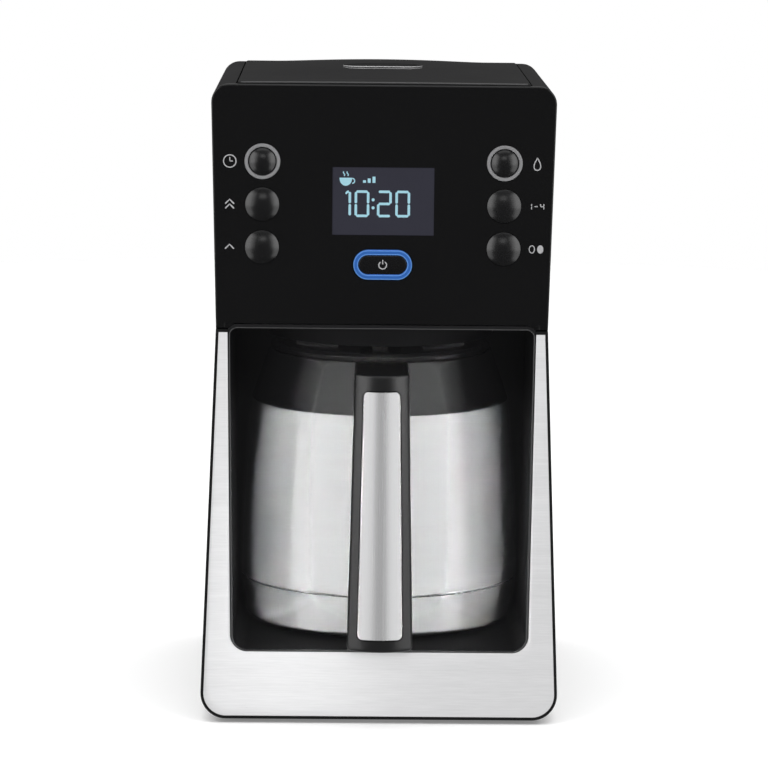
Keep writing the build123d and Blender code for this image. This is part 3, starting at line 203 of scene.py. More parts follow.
class LidSizes(bpy.types.PropertyGroup):
    """Sizes of the machine's hinged lid."""

    half: length("Half width", "Half of the lid's width", high("lid").x)
    front: length("Front", "Front edge of the lid", low("lid").y)
    edge_z: length("Edge height", "Height of the lid's top edge", 352 * MM)
    under_z: length("Underside", "Height of the lid's underside", 345 * MM)
    barrel: length("Barrel", "Radius of the hinge barrel", 6 * MM)
    bevel: length("Edge", "Rounding of the lid's edges", 1 * MM)
    front_rise: length("Front rise", "Crown at the front edge", 0.25 * MM)
    near_rise: length("Near rise", "Crown at a third of the lid's length", 2.6 * MM)
    far_rise: length("Far rise", "Crown near the hinge", 4.2 * MM)
    scoop_half: length("Scoop half width", "Half of the finger scoop's width", 22.5 * MM)
    scoop_reach: length("Scoop half length", "Half of the finger scoop's length", 11 * MM)
    scoop_depth: length("Scoop depth", "Depth of the finger scoop", 5 * MM)
    scoop_y: length("Scoop place", "Middle of the finger scoop", 16.725 * MM)
    # The scoop's beads are near-white: painted highlight along the scoop's front edge.
    bead: length("Scoop bead", "Radius of the bead on the scoop's edge", 0.55 * MM)
    fine_bead: length("Fine bead", "Radius of the fine bead ahead of it", 0.2 * MM)
    bead_step: length("Bead step", "From one bead to the other", 8 * MM)
    # The edge bar's grey paints the highlight on the lid's black front edge.
    edge_bar: length("Edge bar", "Radius of the polished bar in the front edge", 0.6 * MM)


class TrimSizes(bpy.types.PropertyGroup):
    """Sizes of the brushed steel front."""

    foot_z: length("Foot", "Height of its lower edge", low("front_trim").z)
    top_z: length("Top", "Height of the legs' tops", high("front_trim").z)
    body_foot: length("Body foot half width", "Half width of the body at its foot", 99 * MM)
    body_waist: length("Body waist half width", "Half width of the body at its waist", 91.35 * MM)
    border: length("Border", "Distance from the body's outline", 1.6 * MM)
    bay_floor: length("Bay edge", "Height of the edge below the bay", 39.6 * MM)
    bay_foot: length("Bay foot half width", "Half width at the bay's floor", 82.2 * MM)
    bay_waist: length("Bay waist half width", "Half width at the bay's top", 84.9 * MM)
    outer_corner: length("Outer corners", "Radius of the outer corners", 12.4 * MM)
    inner_corner: length("Inner corners", "Radius of the inner corners", 9.3 * MM)
    rake: length("Rake", "How far the foot stands in front of the waist", 23 * MM)
    ground: length("Body foot", "Height of the body's lower edge", 2.5 * MM)
    sheet: length("Sheet", "Thickness of the steel", 0.9 * MM)
    roll: length("Rolled edge", "Rounding of its edges", 0.2 * MM)
    proud: length("Proud", "How far the steel stands before its frame", 0.2 * MM)
    # The rim is a bar whose grey paints the highlight on the edge of the bay's black lip.
    rim: length("Rim", "Radius of the polished rim at the foot of the bay's sides", 0.6 * MM)
    rim_top: length("Rim top", "Radius of the polished rim at the bay's top", 0.3 * MM)
    rim_flat: length("Flat rim", "Half height of the rim below the carafe's way out", 0.42 * MM)
    rim_deep: length("Deep rim", "Half depth of the rim below the carafe's way out", 1.7 * MM)
    rim_set: length("Rim place", "From the bay's edge to the rim's middle", 0.35 * MM)
    bay_low: length("Bay low", "Height of the bay's floor", 40.3 * MM)
    bay_low_half: length("Bay low half width", "Half width of the bay at its floor", 80.9 * MM)
    bay_high_half: length("Bay high half width", "Half width of the bay at its top", 83.6 * MM)
    bay_low_corner: length("Low corners", "Radius of the bay's lower corners", 8 * MM)
    bay_high_corner: length("High corners", "Radius of the bay's upper corners", 4 * MM)


class PanelSizes(bpy.types.PropertyGroup):
    """Sizes of the buttons, rings and marks on the panel."""

    cap_radius: length("Cap radius", "Radius of the plain buttons", 9.25 * MM)
    ringed_radius: length("Ringed cap radius", "Radius of the buttons in rings", 7.55 * MM)
    edge: length("Cap edge", "Height of a cap's rim over the panel", 0.2 * MM)
    dome: length("Cap dome", "Height of a cap's middle over the panel", 3.3 * MM)
    ring_radius: length("Ring radius", "Outer radius of the grey rings", 9.75 * MM)
    ring_width: length("Ring width", "Width of the grey rings", 1.9 * MM)
    ring_proud: length("Ring height", "How far the grey rings stand out", 0.7 * MM)
    light_width: length("Light ring width", "Width of the light ring", 2.5 * MM)
    light_gap: length("Light ring gap", "Dark gap round the light ring", 0.4 * MM)
    light_proud: length("Light ring height", "How far the light ring stands out", 0.7 * MM)
    long_cap: length("Long cap", "Height of the long button over the panel", 0.9 * MM)
    stem: length("Stem", "How far a button reaches behind the panel", 7.9 * MM)
    print_height: length("Print", "Height of a printed mark", 0.06 * MM)


class FinishColours(bpy.types.PropertyGroup):
    """Colours of the finishes."""

    panel: colour("Panel", "Gloss black of the control panel", 21, 21, 22)
    shell: colour("Shell", "Satin black of the housing and lid", 27, 27, 28)
    # Painted highlight: grey for the bars that stand for the shine on the lid's front edge and the bay's
    # lip.
    edge: colour("Edges", "Polished grey of the lid's front edge and the bay's rim", 78, 78, 79)
    # Painted highlight: near-white for the beads that stand for the shine on the scoop's front edge.
    lip: colour("Lip", "Grey of the finger lip on the lid", 226, 226, 227)
    liner: colour("Liner", "Black of the bay and the basket", 27, 27, 28)
    collar: colour("Collar", "Gloss black of the carafe's collar", 27, 27, 28)
    handle: colour("Handle", "Satin black of the carafe's handle", 24, 24, 25)
    steel: colour("Steel", "Brushed steel", 224, 224, 225)
    inlay: colour("Inlay", "Brushed steel of the handle's inlay", 208, 208, 209)
    bare_steel: colour("Bare steel", "Plain steel of screws and springs", 196, 196, 198)
    ring: colour("Rings", "Grey of the two button rings", 178, 178, 180)
    light: colour("Light ring", "Blue of the light ring", 48, 100, 178)
    # Painted highlight: paler blue lines stand for the shine on the light ring's edges.
    light_edge_highlight: colour("Light ring edge", "Paler blue of the light ring's edges", 96, 148, 216)
    glass: colour("Display", "Unlit display", 47, 47, 56)
    digits: colour("Digits", "Lit digits", 160, 206, 220)
    ink: colour("Print", "Printed marks", 226, 226, 228)
    board: colour("Board", "Circuit board", 24, 92, 50)
    tank: colour("Tank", "Smoky water tank", 96, 98, 102)
    silicone: colour("Silicone", "Hoses and seals", 200, 200, 196)
    rubber: colour("Rubber", "Feet", 30, 30, 30)
    aluminium: colour("Aluminium", "Heater", 190, 190, 193)
    gold: colour("Mesh", "Fine filter mesh", 206, 172, 96)
    white: colour("White plastic", "Valves and tubes", 226, 226, 222)


class StageSettings(bpy.types.PropertyGroup):
    """The studio around the coffee maker."""

    floor_radius: length("Floor", "Radius of the floor", 1.2)
    floor_y: length("Floor place", "How far the floor's middle lies behind the machine", 0.9)
    lens: FloatProperty(
        name="Lens",
        description="Focal length of the camera on a 36 mm sensor",
        default=169.95,
        subtype="DISTANCE_CAMERA",
    )
    place: FloatVectorProperty(
        name="Camera",
        description="Where the camera stands",
        default=(-0.02165, -2.056, 0.48713),
        subtype="TRANSLATION",
        unit="LENGTH",
    )
    turn: FloatVectorProperty(
        name="Camera turn",
        description="Pitch down, turn to the right and roll of the camera",
        default=tuple(math.radians(value) for value in (8.654, 0.6685, 0.578)),
        subtype="EULER",
        unit="ROTATION",
    )
    side_light: shine("Side lights", "Radiance of each side softbox", 1.45)
    top_light: shine("Top light", "Radiance of the overhead softbox", 1.1)
    front_light: shine("Front light", "Radiance of the front fill", 1.6)
    front_card: shine("Front card", "Radiance of the card that the steel front mirrors", 0.8)
    front_glow: shine("Front glow", "Radiance of the near card that the steel foot mirrors", 0.9)
    bay_fill: shine("Bay fill", "Even light for the inside of the bay", 2.0)
    handle_card: shine("Handle cards", "Radiance of the cards that the handle's sides mirror", 1.3)
    cap_card: shine("Button cards", "Radiance of the cards that the round buttons mirror", 1.7)
    inlay_card: shine("Inlay card", "Radiance of the card that the inlay's middle mirrors", 0.4)
    inlay_side: shine("Inlay sides", "Radiance of the cards that the inlay's sides mirror", 1.0)
    inlay_rim: shine("Inlay rims", "Radiance of the cards that the inlay's rolled edges mirror", 1.4)
    carafe_card: shine("Carafe card", "Radiance of the card before the carafe", 0.82)
    carafe_side: shine("Carafe sides", "Radiance of the cards beside the carafe", 0.96)
    carafe_rear: shine("Carafe rear", "Radiance of the first cards behind those", 0.55)
    carafe_back: shine("Carafe back", "Radiance of the second cards", 0.45)
    carafe_last: shine("Carafe last", "Radiance of the last cards", 0.2)
    collar_card: shine("Collar card", "Radiance of the high card that the collar mirrors", 0.9)
    floor_sun: shine("Floor light", "Light that falls on the floor alone", 3.2)


GROUPS = {
    "carafe": CarafeSizes,
    "springs": SpringSizes,
    "handle": HandleSizes,
    "lid": LidSizes,
    "trim": TrimSizes,
    "panel": PanelSizes,
    "colours": FinishColours,
    "stage": StageSettings,
}


def settings(context, group):
    """One of this file's property groups."""
    return getattr(context.scene, "coffee_" + group)


# Surfaces


def grid_faces(rows, columns, close_rows, close_columns):
    """Corner numbers of a grid's cells: a point, the next in its row, and the two beyond."""
    row = np.arange(rows if close_rows else rows - 1)[:, None]
    column = np.arange(columns if close_columns else columns - 1)[None, :]
    next_row, next_column = (row + 1) % rows, (column + 1) % columns
    corners = (
        row * columns + column,
        row * columns + next_column,
        next_row * columns + next_column,
        next_row * columns + column,
    )
    return np.stack(corners, -1).reshape(-1, 4)


def shell(grid, close_rows=False, close_columns=True, caps=False):
    """Points and faces of one grid, with a flat cap on its first and last row if asked."""
    rows, columns = grid.shape[:2]
    faces = grid_faces(rows, columns, close_rows, close_columns).tolist()
    if caps:
        ring = np.arange(columns)
        faces += [ring.tolist(), (ring + (rows - 1) * columns).tolist()]
    return grid.reshape(-1, 3), faces


def unit(rows):
    """Rows of vectors, each brought to length one."""
    return rows / np.linalg.norm(rows, axis=1, keepdims=True)


def mix(first, second, share):
    """The way from one value to another, by a share."""
    return first + (second - first) * share


def rounded_loop(corners, steps=8):
    """Closed outline whose corners are arcs.

    Each corner is (a, b, radius). The arc's centre lies on the corner's
    bisector, at radius / sin(half the corner's angle), and the arc swings
    from the foot of one side to the foot of the other.
    """
    corners = np.asarray(corners, float)
    points, radius = corners[:, :2], corners[:, 2:]
    before = unit(np.roll(points, 1, 0) - points)
    after = unit(np.roll(points, -1, 0) - points)
    half = np.arccos(np.clip((before * after).sum(1, keepdims=True), -1, 1)) / 2
    bisector = before + after
    bisector /= np.maximum(np.linalg.norm(bisector, axis=1, keepdims=True), 1e-12)
    centre = points + bisector * radius / np.sin(half)
    first = points + before * radius / np.tan(half) - centre
    last = points + after * radius / np.tan(half) - centre
    sweep = np.maximum(np.pi - 2 * half, 1e-9)[:, None]
    share = np.linspace(0, 1, steps)[None, :, None]
    arc = np.sin((1 - share) * sweep) * first[:, None] + np.sin(share * sweep) * last[:, None]
    return (centre[:, None] + arc / np.sin(sweep)).reshape(-1, 2)


def denser(loop, count):
    """The closed outline with its own points and `count` more, evenly along its length."""
    closed = np.vstack([loop, loop[:1]])
    walked = np.concatenate([[0], np.cumsum(np.linalg.norm(np.diff(closed, axis=0), axis=1))])
    even = np.linspace(0, walked[-1], count, endpoint=False)
    at = np.unique(np.round(np.concatenate([walked[:-1], even]), 9))
    return np.stack([np.interp(at, walked, closed[:, 0]), np.interp(at, walked, closed[:, 1])], 1)


def turned(profile, segments=224):
    """A closed (radius, height) profile carried round the carafe's upright axis."""
    angle = np.linspace(0, 2 * np.pi, segments, endpoint=False)
    radius, height = profile[:, :1], profile[:, 1:]
    grid = np.stack(
        [radius * np.cos(angle), AXIS_Y + radius * np.sin(angle), height + 0 * angle], -1
    )
    return shell(grid, close_rows=True)


def on_panel(x, z, out):
    """Points of the panel's front: x to the right, z up, out towards the user."""
    x, z, out = np.broadcast_arrays(x, z, out)
    return np.stack([x, PANEL_Y - out, z], -1)


def smallest(first, second, blend):
    """The smaller of two arrays, with the step between them rounded over `blend`."""
    share = np.clip(0.5 + 0.5 * (second - first) / blend, 0, 1)
    return mix(second, first, share) - blend * share * (1 - share)


def joined_mesh(name, shells, outward=True):
    """One mesh of several shells, with the points of their seams merged."""
    merge_distance = 0.001 * MM
    points, faces, start = [], [], 0
    for shell_points, shell_faces in shells:
        points.append(shell_points)
        faces += [[corner + start for corner in face] for face in shell_faces]
        start += len(shell_points)
    mesh = bpy.data.meshes.new(name)
    mesh.from_pydata(np.concatenate(points).tolist(), [], faces)
    merged = bmesh.new()
    merged.from_mesh(mesh)
    bmesh.ops.remove_doubles(merged, verts=merged.verts, dist=merge_distance)
    if outward:
        bmesh.ops.recalc_face_normals(merged, faces=merged.faces)
    merged.to_mesh(mesh)
    merged.free()
    return mesh


def add_piece(name, shells, body, finish, replaced=(), crease=35, grain=None):
    """Makes one object of closed shells, with its faces turned outwards.

    `finish` is a name. `grain` gives each point's (u, v), with u across the brush lines of the
    finish. A piece with no body is left without a parent.
    """
    mesh = joined_mesh(name, shells)
    mesh.validate()
    mesh.shade_smooth()
    mesh.set_sharp_from_angle(angle=math.radians(crease))
    if grain is not None:
        place = np.empty(len(mesh.vertices) * 3)
        mesh.vertices.foreach_get("co", place)
        corner = np.empty(len(mesh.loops), int)
        mesh.loops.foreach_get("vertex_index", corner)
        layer = mesh.uv_layers.new(name="grain")
        layer.data.foreach_set("uv", grain(place.reshape(-1, 3))[corner].ravel())
    mesh.materials.append(FINISHES[finish])
    piece = bpy.data.objects.new(name, mesh)
    bpy.context.scene.collection.objects.link(piece)
    if body:
        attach(piece, body)
    if replaced:
        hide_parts(*replaced)
    return piece


def upright_grain(place):
    """Brush lines that run round an upright axis: u is the height, v the way round."""
    radius = 70 * MM
    return np.stack([place[:, 2], radius * np.arctan2(place[:, 0], place[:, 1] - AXIS_Y)], 1)


def level_grain(place):
    """Brush lines that run from side to side: u is the height, v the place across."""
    return np.stack([place[:, 2], place[:, 0]], 1)


def long_grain(place):
    """Brush lines that run up and down: u is the place across, v the height."""
    return np.stack([place[:, 0], place[:, 2]], 1)


def shell_profile(sizes):
    """Wall of the carafe: a rolled hem, a slightly bowed side, a shoulder cone and a straight neck.

    The side's radius goes straight from seam to shoulder, plus four times the
    bow times share times (1 - share). The inner face is one sheet further in.
    """
    roll = 0.25 * MM
    share = np.linspace(0, 1, 40)
    radius = mix(sizes.seam_radius, sizes.shoulder_radius, share)
    radius += 4 * sizes.bow * share * (1 - share)
    side = np.stack([radius, mix(sizes.seam_z, sizes.shoulder_z, share)], 1)
    hem = side[0] - roll * np.array([(1, 1), (0.24, 0.4)])
    neck = [(sizes.neck_radius, sizes.neck_z), (sizes.neck_radius, sizes.mouth_z)]
    outer = np.vstack([hem, side, neck])
    inner = outer[::-1] - (sizes.sheet, 0)
    return np.vstack([outer, inner])


def cup_profile(sizes, foot_z, rim_z):
    """Wall of the base cup: a flat floor, a rounded foot and a side that widens upwards."""
    edge, sheet, lip = sizes.cup_edge, sizes.sheet, 0.2 * MM
    return rounded_loop(
        [
            (0, foot_z, 0),
            (sizes.cup_radius, foot_z, edge),
            (sizes.seam_radius, rim_z, lip),
            (sizes.seam_radius - sheet, rim_z, lip),
            (sizes.cup_radius - sheet, foot_z + sheet, edge - sheet),
            (0, foot_z + sheet, 0),
        ],
        10,
    )


def collar_cone(sizes, z):
    """Radius of the collar's cone at a height, straight from its foot to its rim."""
    share = (z - sizes.collar_z) / (sizes.collar_top - sizes.collar_z)
    return mix(sizes.collar_foot, sizes.collar_rim, share)


def collar_shell(sizes):
    """Cone with a pouring spout and a groove in its rim.

    The outer radius is the larger of the cone's and the spout's. The spout is
    a blunt wedge whose width and reach grow from the neck's height to the rim:
    its side is a straight line in plan, so its radius at an angle is the line's
    distance from the axis over the cosine of the angle to the line's normal.
    The rim's height falls by the groove's depth times (1 - sideways share).
    """
    spout_angle, root_y, root_half = 0.4, 59.6 * MM, 8 * MM
    tip_half, tip_slant, tip_round, root_round = 1.5 * MM, 3.1 * MM, 2 * MM, 1.2 * MM
    hem, edge, wall, lift, gap = 0.3 * MM, 0.8 * MM, 0.9 * MM, 0.4 * MM, 0.3 * MM
    bore_edge, groove_end, groove_run, groove_foot = 0.4 * MM, 71.2 * MM, 10 * MM, 7 * MM
    groove_tip, groove_spread, groove_flare = 3 * MM, 9 * MM, 13 * MM
    angle = np.linspace(0, 2 * np.pi, 320, endpoint=False)
    off_spout = np.abs((angle - np.pi / 2 + np.pi) % (2 * np.pi) - np.pi)

    def spout(share):
        """Radius of the spout at a share of its height, for every angle."""
        root = np.stack([root_half * (1 + share), root_y + 0 * share], -1)
        tip_y = sizes.spout_reach - tip_slant * (1 - share)
        tip = np.stack([tip_half * (1 + share), tip_y], -1)
        run = tip - root
        normal = np.stack([run[..., 1], -run[..., 0]], -1)
        distance = (normal * root).sum(-1)
        facing = normal[..., :1] * np.sin(off_spout) + normal[..., 1:] * np.cos(off_spout)
        wedge = distance[..., None] / np.maximum(facing, 1e-9)
        flat = tip_y[..., None] / np.maximum(np.cos(off_spout), 0.2)
        reach = smallest(wedge, flat, tip_round)
        return np.where(off_spout < spout_angle, reach, 0)

    top_z = sizes.collar_top
    turn = np.linspace(0, np.pi / 2, 7)[1:]
    side = np.linspace(sizes.collar_z + hem, top_z - edge, 44)
    height = np.concatenate([[sizes.collar_z], side, side[-1] + edge * np.sin(turn)])
    inset = np.concatenate([[hem], 0 * side, edge * (1 - np.cos(turn))])[:, None]
    cone = collar_cone(sizes, height)[:, None]
    up = (height - sizes.neck_z) / (top_z - sizes.neck_z)
    wide = np.where(up[:, None] > 0, spout(np.clip(up, 0, 1)), 0)
    outer = -smallest(-cone, -wide, root_round) - inset
    across = np.linspace(0, 1, 12)[1:-1, None]
    rim = mix(outer[-1], sizes.collar_bore + bore_edge, across)
    bore = sizes.collar_bore + bore_edge * np.array([1, 0.3, 0, 0])[:, None] + 0 * angle
    under = sizes.collar_foot - wall + 0 * angle
    radius = np.vstack([outer, rim, bore, under[None]])
    level = np.concatenate(
        [
            height,
            np.full(len(rim), top_z),
            top_z - bore_edge * np.array([0, 0.3, 1]),
            [sizes.neck_z + gap, sizes.collar_z + lift],
        ]
    )[:, None]
    x, y = radius * np.cos(angle), radius * np.sin(angle)
    along = np.clip((groove_end - y) / groove_run, 0, 1)
    flare = np.clip((sizes.spout_reach - y) / groove_flare, 0, 1)
    width = groove_tip + groove_spread * flare
    cut = sizes.groove * along * np.clip(1 - np.abs(x) / width, 0, 1) * (y > 0)
    top_share = np.clip((level - top_z + groove_foot) / groove_foot, 0, 1)
    z = level - cut * top_share
    return shell(np.stack([x, AXIS_Y + y, z], -1), close_rows=True)


def coil_shell(sizes, node):
    """A round wire carried up a helix whose end turns lie closer.

    With s from 0 to 1 along the wire, the height follows s less a share of sin(2 pi s).
    """
    packing = 0.5
    first, last = low(node), high(node)
    half = sizes.wire / 2
    rise, radius = last.z - first.z - 2 * half, last.x - half
    share = np.linspace(0, 1, 240)
    turn = 2 * np.pi * share * rise / sizes.pitch
    height = rise * (share - packing * np.sin(2 * np.pi * share) / (2 * np.pi))
    path = np.stack([radius * np.cos(turn), AXIS_Y + radius * np.sin(turn), first.z + half + height], 1)
    ahead = unit(np.gradient(path, axis=0))
    outward = np.stack([np.cos(turn), np.sin(turn), 0 * turn], 1)
    across = np.cross(ahead, outward)
    angle = np.linspace(0, 2 * np.pi, 16, endpoint=False)[None, :, None]
    grid = path[:, None] + half * (outward[:, None] * np.cos(angle) + across[:, None] * np.sin(angle))
    return shell(grid, caps=True)


def handle_half(sizes, z):
    """Half of the handle's width at a height: it goes straight from foot to top."""
    return mix(sizes.foot_half, sizes.top_half, (z - sizes.foot_z) / (sizes.top_z - sizes.foot_z))


def handle_front(sizes, x, z):
    """Front of the handle: it leans back with the square of the height's share.

    Across, it is an arc through the two sides: radius - sqrt(radius^2 - x^2).
    """
    share = (z - sizes.foot_z) / (sizes.top_z - sizes.foot_z)
    half = handle_half(sizes, z)
    radius = (half**2 + sizes.crown**2) / (2 * sizes.crown)
    across = np.minimum(np.abs(x), half)
    bow = radius - np.sqrt(radius**2 - across**2)
    return AXIS_Y - sizes.reach + sizes.lean * share**2 + bow


def handle_shell(sizes, collar):
    """One rounded section carried up the grip, round the finger corner and back to the collar.

    On the grip a station is a level cut. Round the corner it is a half plane
    through the corner's axis, and its outer edge is the nearer of the front and
    the top, with a rounded step between them. On the arm it is an upright cut,
    and the last one lies on the collar's cone.
    """
    least, corner_blend = 0.02, 1.3 * MM
    half, depth = (sizes.foot_half + sizes.top_half) / 2, sizes.depth
    section = denser(
        rounded_loop(
            [
                (-half, 0, sizes.back_round),
                (half, 0, sizes.back_round),
                (half, depth, sizes.front_round),
                (-half, depth, sizes.front_round),
            ],
            8,
        ),
        110,
    )
    side, out = section[:, 0] / half, section[:, 1] / depth
    pivot_y = AXIS_Y - sizes.reach + sizes.lean + depth + sizes.inner_round
    pivot_z = sizes.top_z - depth - sizes.inner_round

    turn = np.linspace(0, np.pi / 2, 9)
    z = sizes.foot_z + sizes.foot_round * (1 - np.cos(turn))
    inset = sizes.foot_round * (1 - np.sin(turn))
    rise = np.linspace(z[-1], pivot_z, 46)[1:]
    z = np.concatenate([z, rise])[:, None]
    inset = np.concatenate([inset, 0 * rise])[:, None]
    x = (handle_half(sizes, z) - inset) * side
    outer = handle_front(sizes, x, z) + inset
    inner = handle_front(sizes, 0 * x, z) + depth - inset
    grip = np.stack([x, mix(inner, outer, out), z + 0 * x], -1)

    angle = np.linspace(0, np.pi / 2, 90)[1:, None]
    x = mix(handle_half(sizes, pivot_z), sizes.top_half, np.sin(angle)) * side
    cosine, sine = np.maximum(np.cos(angle), least), np.maximum(np.sin(angle), least)
    front = (pivot_y - handle_front(sizes, x, pivot_z)) / cosine
    for _ in range(6):
        reached = np.minimum(pivot_z + front * sine, sizes.top_z)
        front = (pivot_y - handle_front(sizes, x, reached)) / cosine
    outer = smallest(front, (sizes.top_z - pivot_z) / sine, corner_blend)
    first = pivot_y - handle_front(sizes, 0.0, pivot_z) - depth
    share = angle / (np.pi / 2)
    far = mix(mix(first, sizes.inner_round, share * share * (3 - 2 * share)), outer, out)
    corner = np.stack([x, pivot_y - far * np.cos(angle), pivot_z + far * np.sin(angle)], -1)

    share = np.linspace(0, 1, 14)[1:, None]
    x = sizes.top_half * side + 0 * share
    z = pivot_z + sizes.inner_round + out * depth + 0 * share
    end = AXIS_Y - np.sqrt(collar_cone(collar, z) ** 2 - x**2)
    arm = np.stack([x, mix(corner[-1, :, 1], end, share), z], -1)
    return shell(np.concatenate([grip, corner, arm]), caps=True)


def inlay_shells(sizes, grow, proud, roll):
    """Plate on the handle's front with rounded corners and a rolled edge.

    Its lift over the bed follows a quarter circle over the roll's width:
    sqrt(1 - (1 - distance to the edge / roll)^2), flat further in.
    """
    bottom, top = sizes.inlay_low - grow, sizes.inlay_high + grow
    radius = sizes.inlay_corner + grow
    share = (1 - np.cos(np.linspace(0, np.pi, 170)))[:, None] / 2
    z = mix(bottom, top, share)
    half = mix(sizes.inlay_foot_half, sizes.inlay_top_half, share) + grow
    end = np.minimum(z - bottom, top - z)
    near = np.maximum(radius - end, 0)
    row_half = half - (radius - np.sqrt(radius**2 - near**2))
    x = row_half * np.sin(np.linspace(-np.pi / 2, np.pi / 2, 57))
    to_side = half - np.abs(x)
    corner = radius - np.hypot(np.maximum(radius - to_side, 0), near)
    distance = np.where((to_side < radius) & (end < radius), corner, np.minimum(to_side, end))
    bed = 0.35 * MM
    lift = np.sqrt(1 - (1 - np.clip(distance / roll, 0, 1)) ** 2) * (bed + proud)
    floor = handle_front(sizes, x, z) + bed
    z = z + 0 * x
    front = np.stack([x, floor - lift, z], -1)
    back = np.stack([x, floor, z], -1)
    return [shell(front, close_columns=False), shell(back, close_columns=False)]


def lid_top(sizes, x, y):
    """Height of the lid's top: a cubic through four heights along its length.

    Its rise over the lid's edge is taken times 1 - (x / half width)^2.
    """
    places = (0, 0.36, 0.72, 1)
    share = (y - sizes.front) / (high("lid").y - sizes.barrel - sizes.front)
    rises = (sizes.front_rise, sizes.near_rise, sizes.far_rise, 0)
    rise = np.polyval(np.polyfit(places, rises, 3), share)
    return sizes.edge_z + rise * (1 - (x / sizes.half) ** 2)


def lip_shell(sizes, bead, ahead):
    """A bead carried along the front half of the scoop's outline, or ahead of it. Its near-white finish
    paints the highlight on the scoop's front edge.

    Its radius falls towards both ends with a power of the sine of the share walked.
    """
    end, taper, flatness = 0.1, 0.6, 0.9
    straight = sizes.scoop_half - sizes.scoop_reach
    turn = np.linspace(np.pi, 1.5 * np.pi, 40)
    arc = np.stack([np.cos(turn), np.sin(turn)], 1)
    left = arc * sizes.scoop_reach + (-straight, sizes.scoop_y - ahead)
    path = np.vstack([left, left[::-1] * (-1, 1)])
    normal = np.vstack([arc, arc[::-1] * (-1, 1)])
    share = np.linspace(0, 1, len(path))
    radius = bead * mix(end, 1, np.sin(np.pi * share) ** taper)[:, None]
    top = lid_top(sizes, path[:, 0], path[:, 1])[:, None]
    angle = np.linspace(0, 2 * np.pi, 20, endpoint=False)
    place = path[:, None] + normal[:, None] * (radius * np.cos(angle))[..., None]
    z = top + flatness * radius * np.sin(angle)
    return shell(np.stack([place[..., 0], place[..., 1], z], -1), caps=True)


def edge_shell(sizes):
    """A round bar set into the lid's front edge, with x along it. Its grey colour paints the highlight on
    the lid's black edge, while its gloss is real.
    """
    end_gap, behind, sunk = 2 * MM, 0.9, 0.75
    reach = sizes.half - end_gap
    x = np.linspace(-reach, reach, 60)[:, None]
    angle = np.linspace(0, 2 * np.pi, 24, endpoint=False)
    y = sizes.front + sizes.edge_bar * (behind + np.cos(angle))
    z = lid_top(sizes, x, sizes.front) + sizes.edge_bar * (np.sin(angle) - sunk)
    return shell(np.stack(np.broadcast_arrays(x, y, z), -1), caps=True)


def lid_shell(sizes):
    """Closed outline of the lid's length and height, carried across its width.

    The outline runs up the front edge, along the crowned top, round the hinge
    barrel and back along the underside. The finger scoop takes off its depth
    times (1 - r^2)^1.5, where r is the distance from the scoop's middle line
    over half of its length.
    """
    fine, fine_length, first_row, hinge_gap = 27 * MM, 16 * MM, 4 * MM, 1.2
    bevel, flat = sizes.bevel, sizes.half - sizes.bevel
    hinge_y, hinge_z = high("lid").y - sizes.barrel, sizes.edge_z - sizes.barrel
    turn = np.linspace(0, np.pi / 2, 7)[1:]
    level = np.concatenate([np.linspace(0, fine, 100), np.linspace(fine, flat, 30)[1:]])
    right = np.concatenate([level, flat + bevel * np.sin(turn)])
    fall = np.concatenate([0 * level, bevel * (1 - np.cos(turn))])
    x = np.concatenate([-right[:0:-1], right])[:, None]
    fall = np.concatenate([fall[:0:-1], fall])[:, None]
    front_z = np.array([sizes.under_z, (sizes.under_z + sizes.edge_z) / 2, sizes.edge_z - bevel])
    front_z = front_z - fall * (front_z > sizes.under_z)
    front = np.stack(np.broadcast_arrays(x, sizes.front + fall, front_z), -1)
    rim_y = sizes.front + fall + bevel * (1 - np.cos(turn))
    rim_z = lid_top(sizes, x, rim_y) - fall - bevel * (1 - np.sin(turn))
    rim = np.stack([x + 0 * rim_y, rim_y, rim_z], -1)
    near, far = sizes.scoop_y - fine_length, sizes.scoop_y + fine_length
    along = np.concatenate(
        [
            np.linspace(sizes.front + bevel, near, 46)[1:],
            np.linspace(near, far, 110)[1:],
            np.linspace(far, hinge_y, 40)[1:],
        ]
    )
    beyond = np.maximum(np.abs(x) - (sizes.scoop_half - sizes.scoop_reach), 0)
    away = np.hypot(beyond, along - sizes.scoop_y) / sizes.scoop_reach
    dish = sizes.scoop_depth * np.clip(1 - away**2, 0, 1) ** 1.5
    top = np.stack(np.broadcast_arrays(x, along, lid_top(sizes, x, along) - fall - dish), -1)
    last = -np.pi - math.asin((sizes.under_z - hinge_z) / sizes.barrel)
    angle = np.linspace(np.pi / 2, last, 30)[1:]
    radius = sizes.barrel - fall
    barrel_y, barrel_z = hinge_y + radius * np.cos(angle), hinge_z + radius * np.sin(angle)
    barrel = np.stack(np.broadcast_arrays(x, barrel_y, barrel_z), -1)
    back_y = np.linspace(hinge_y - hinge_gap * sizes.barrel, sizes.front + first_row, 8)
    under = np.stack(np.broadcast_arrays(x, back_y, sizes.under_z), -1)
    return shell(np.concatenate([front, rim, top, barrel, under], 1), caps=True)


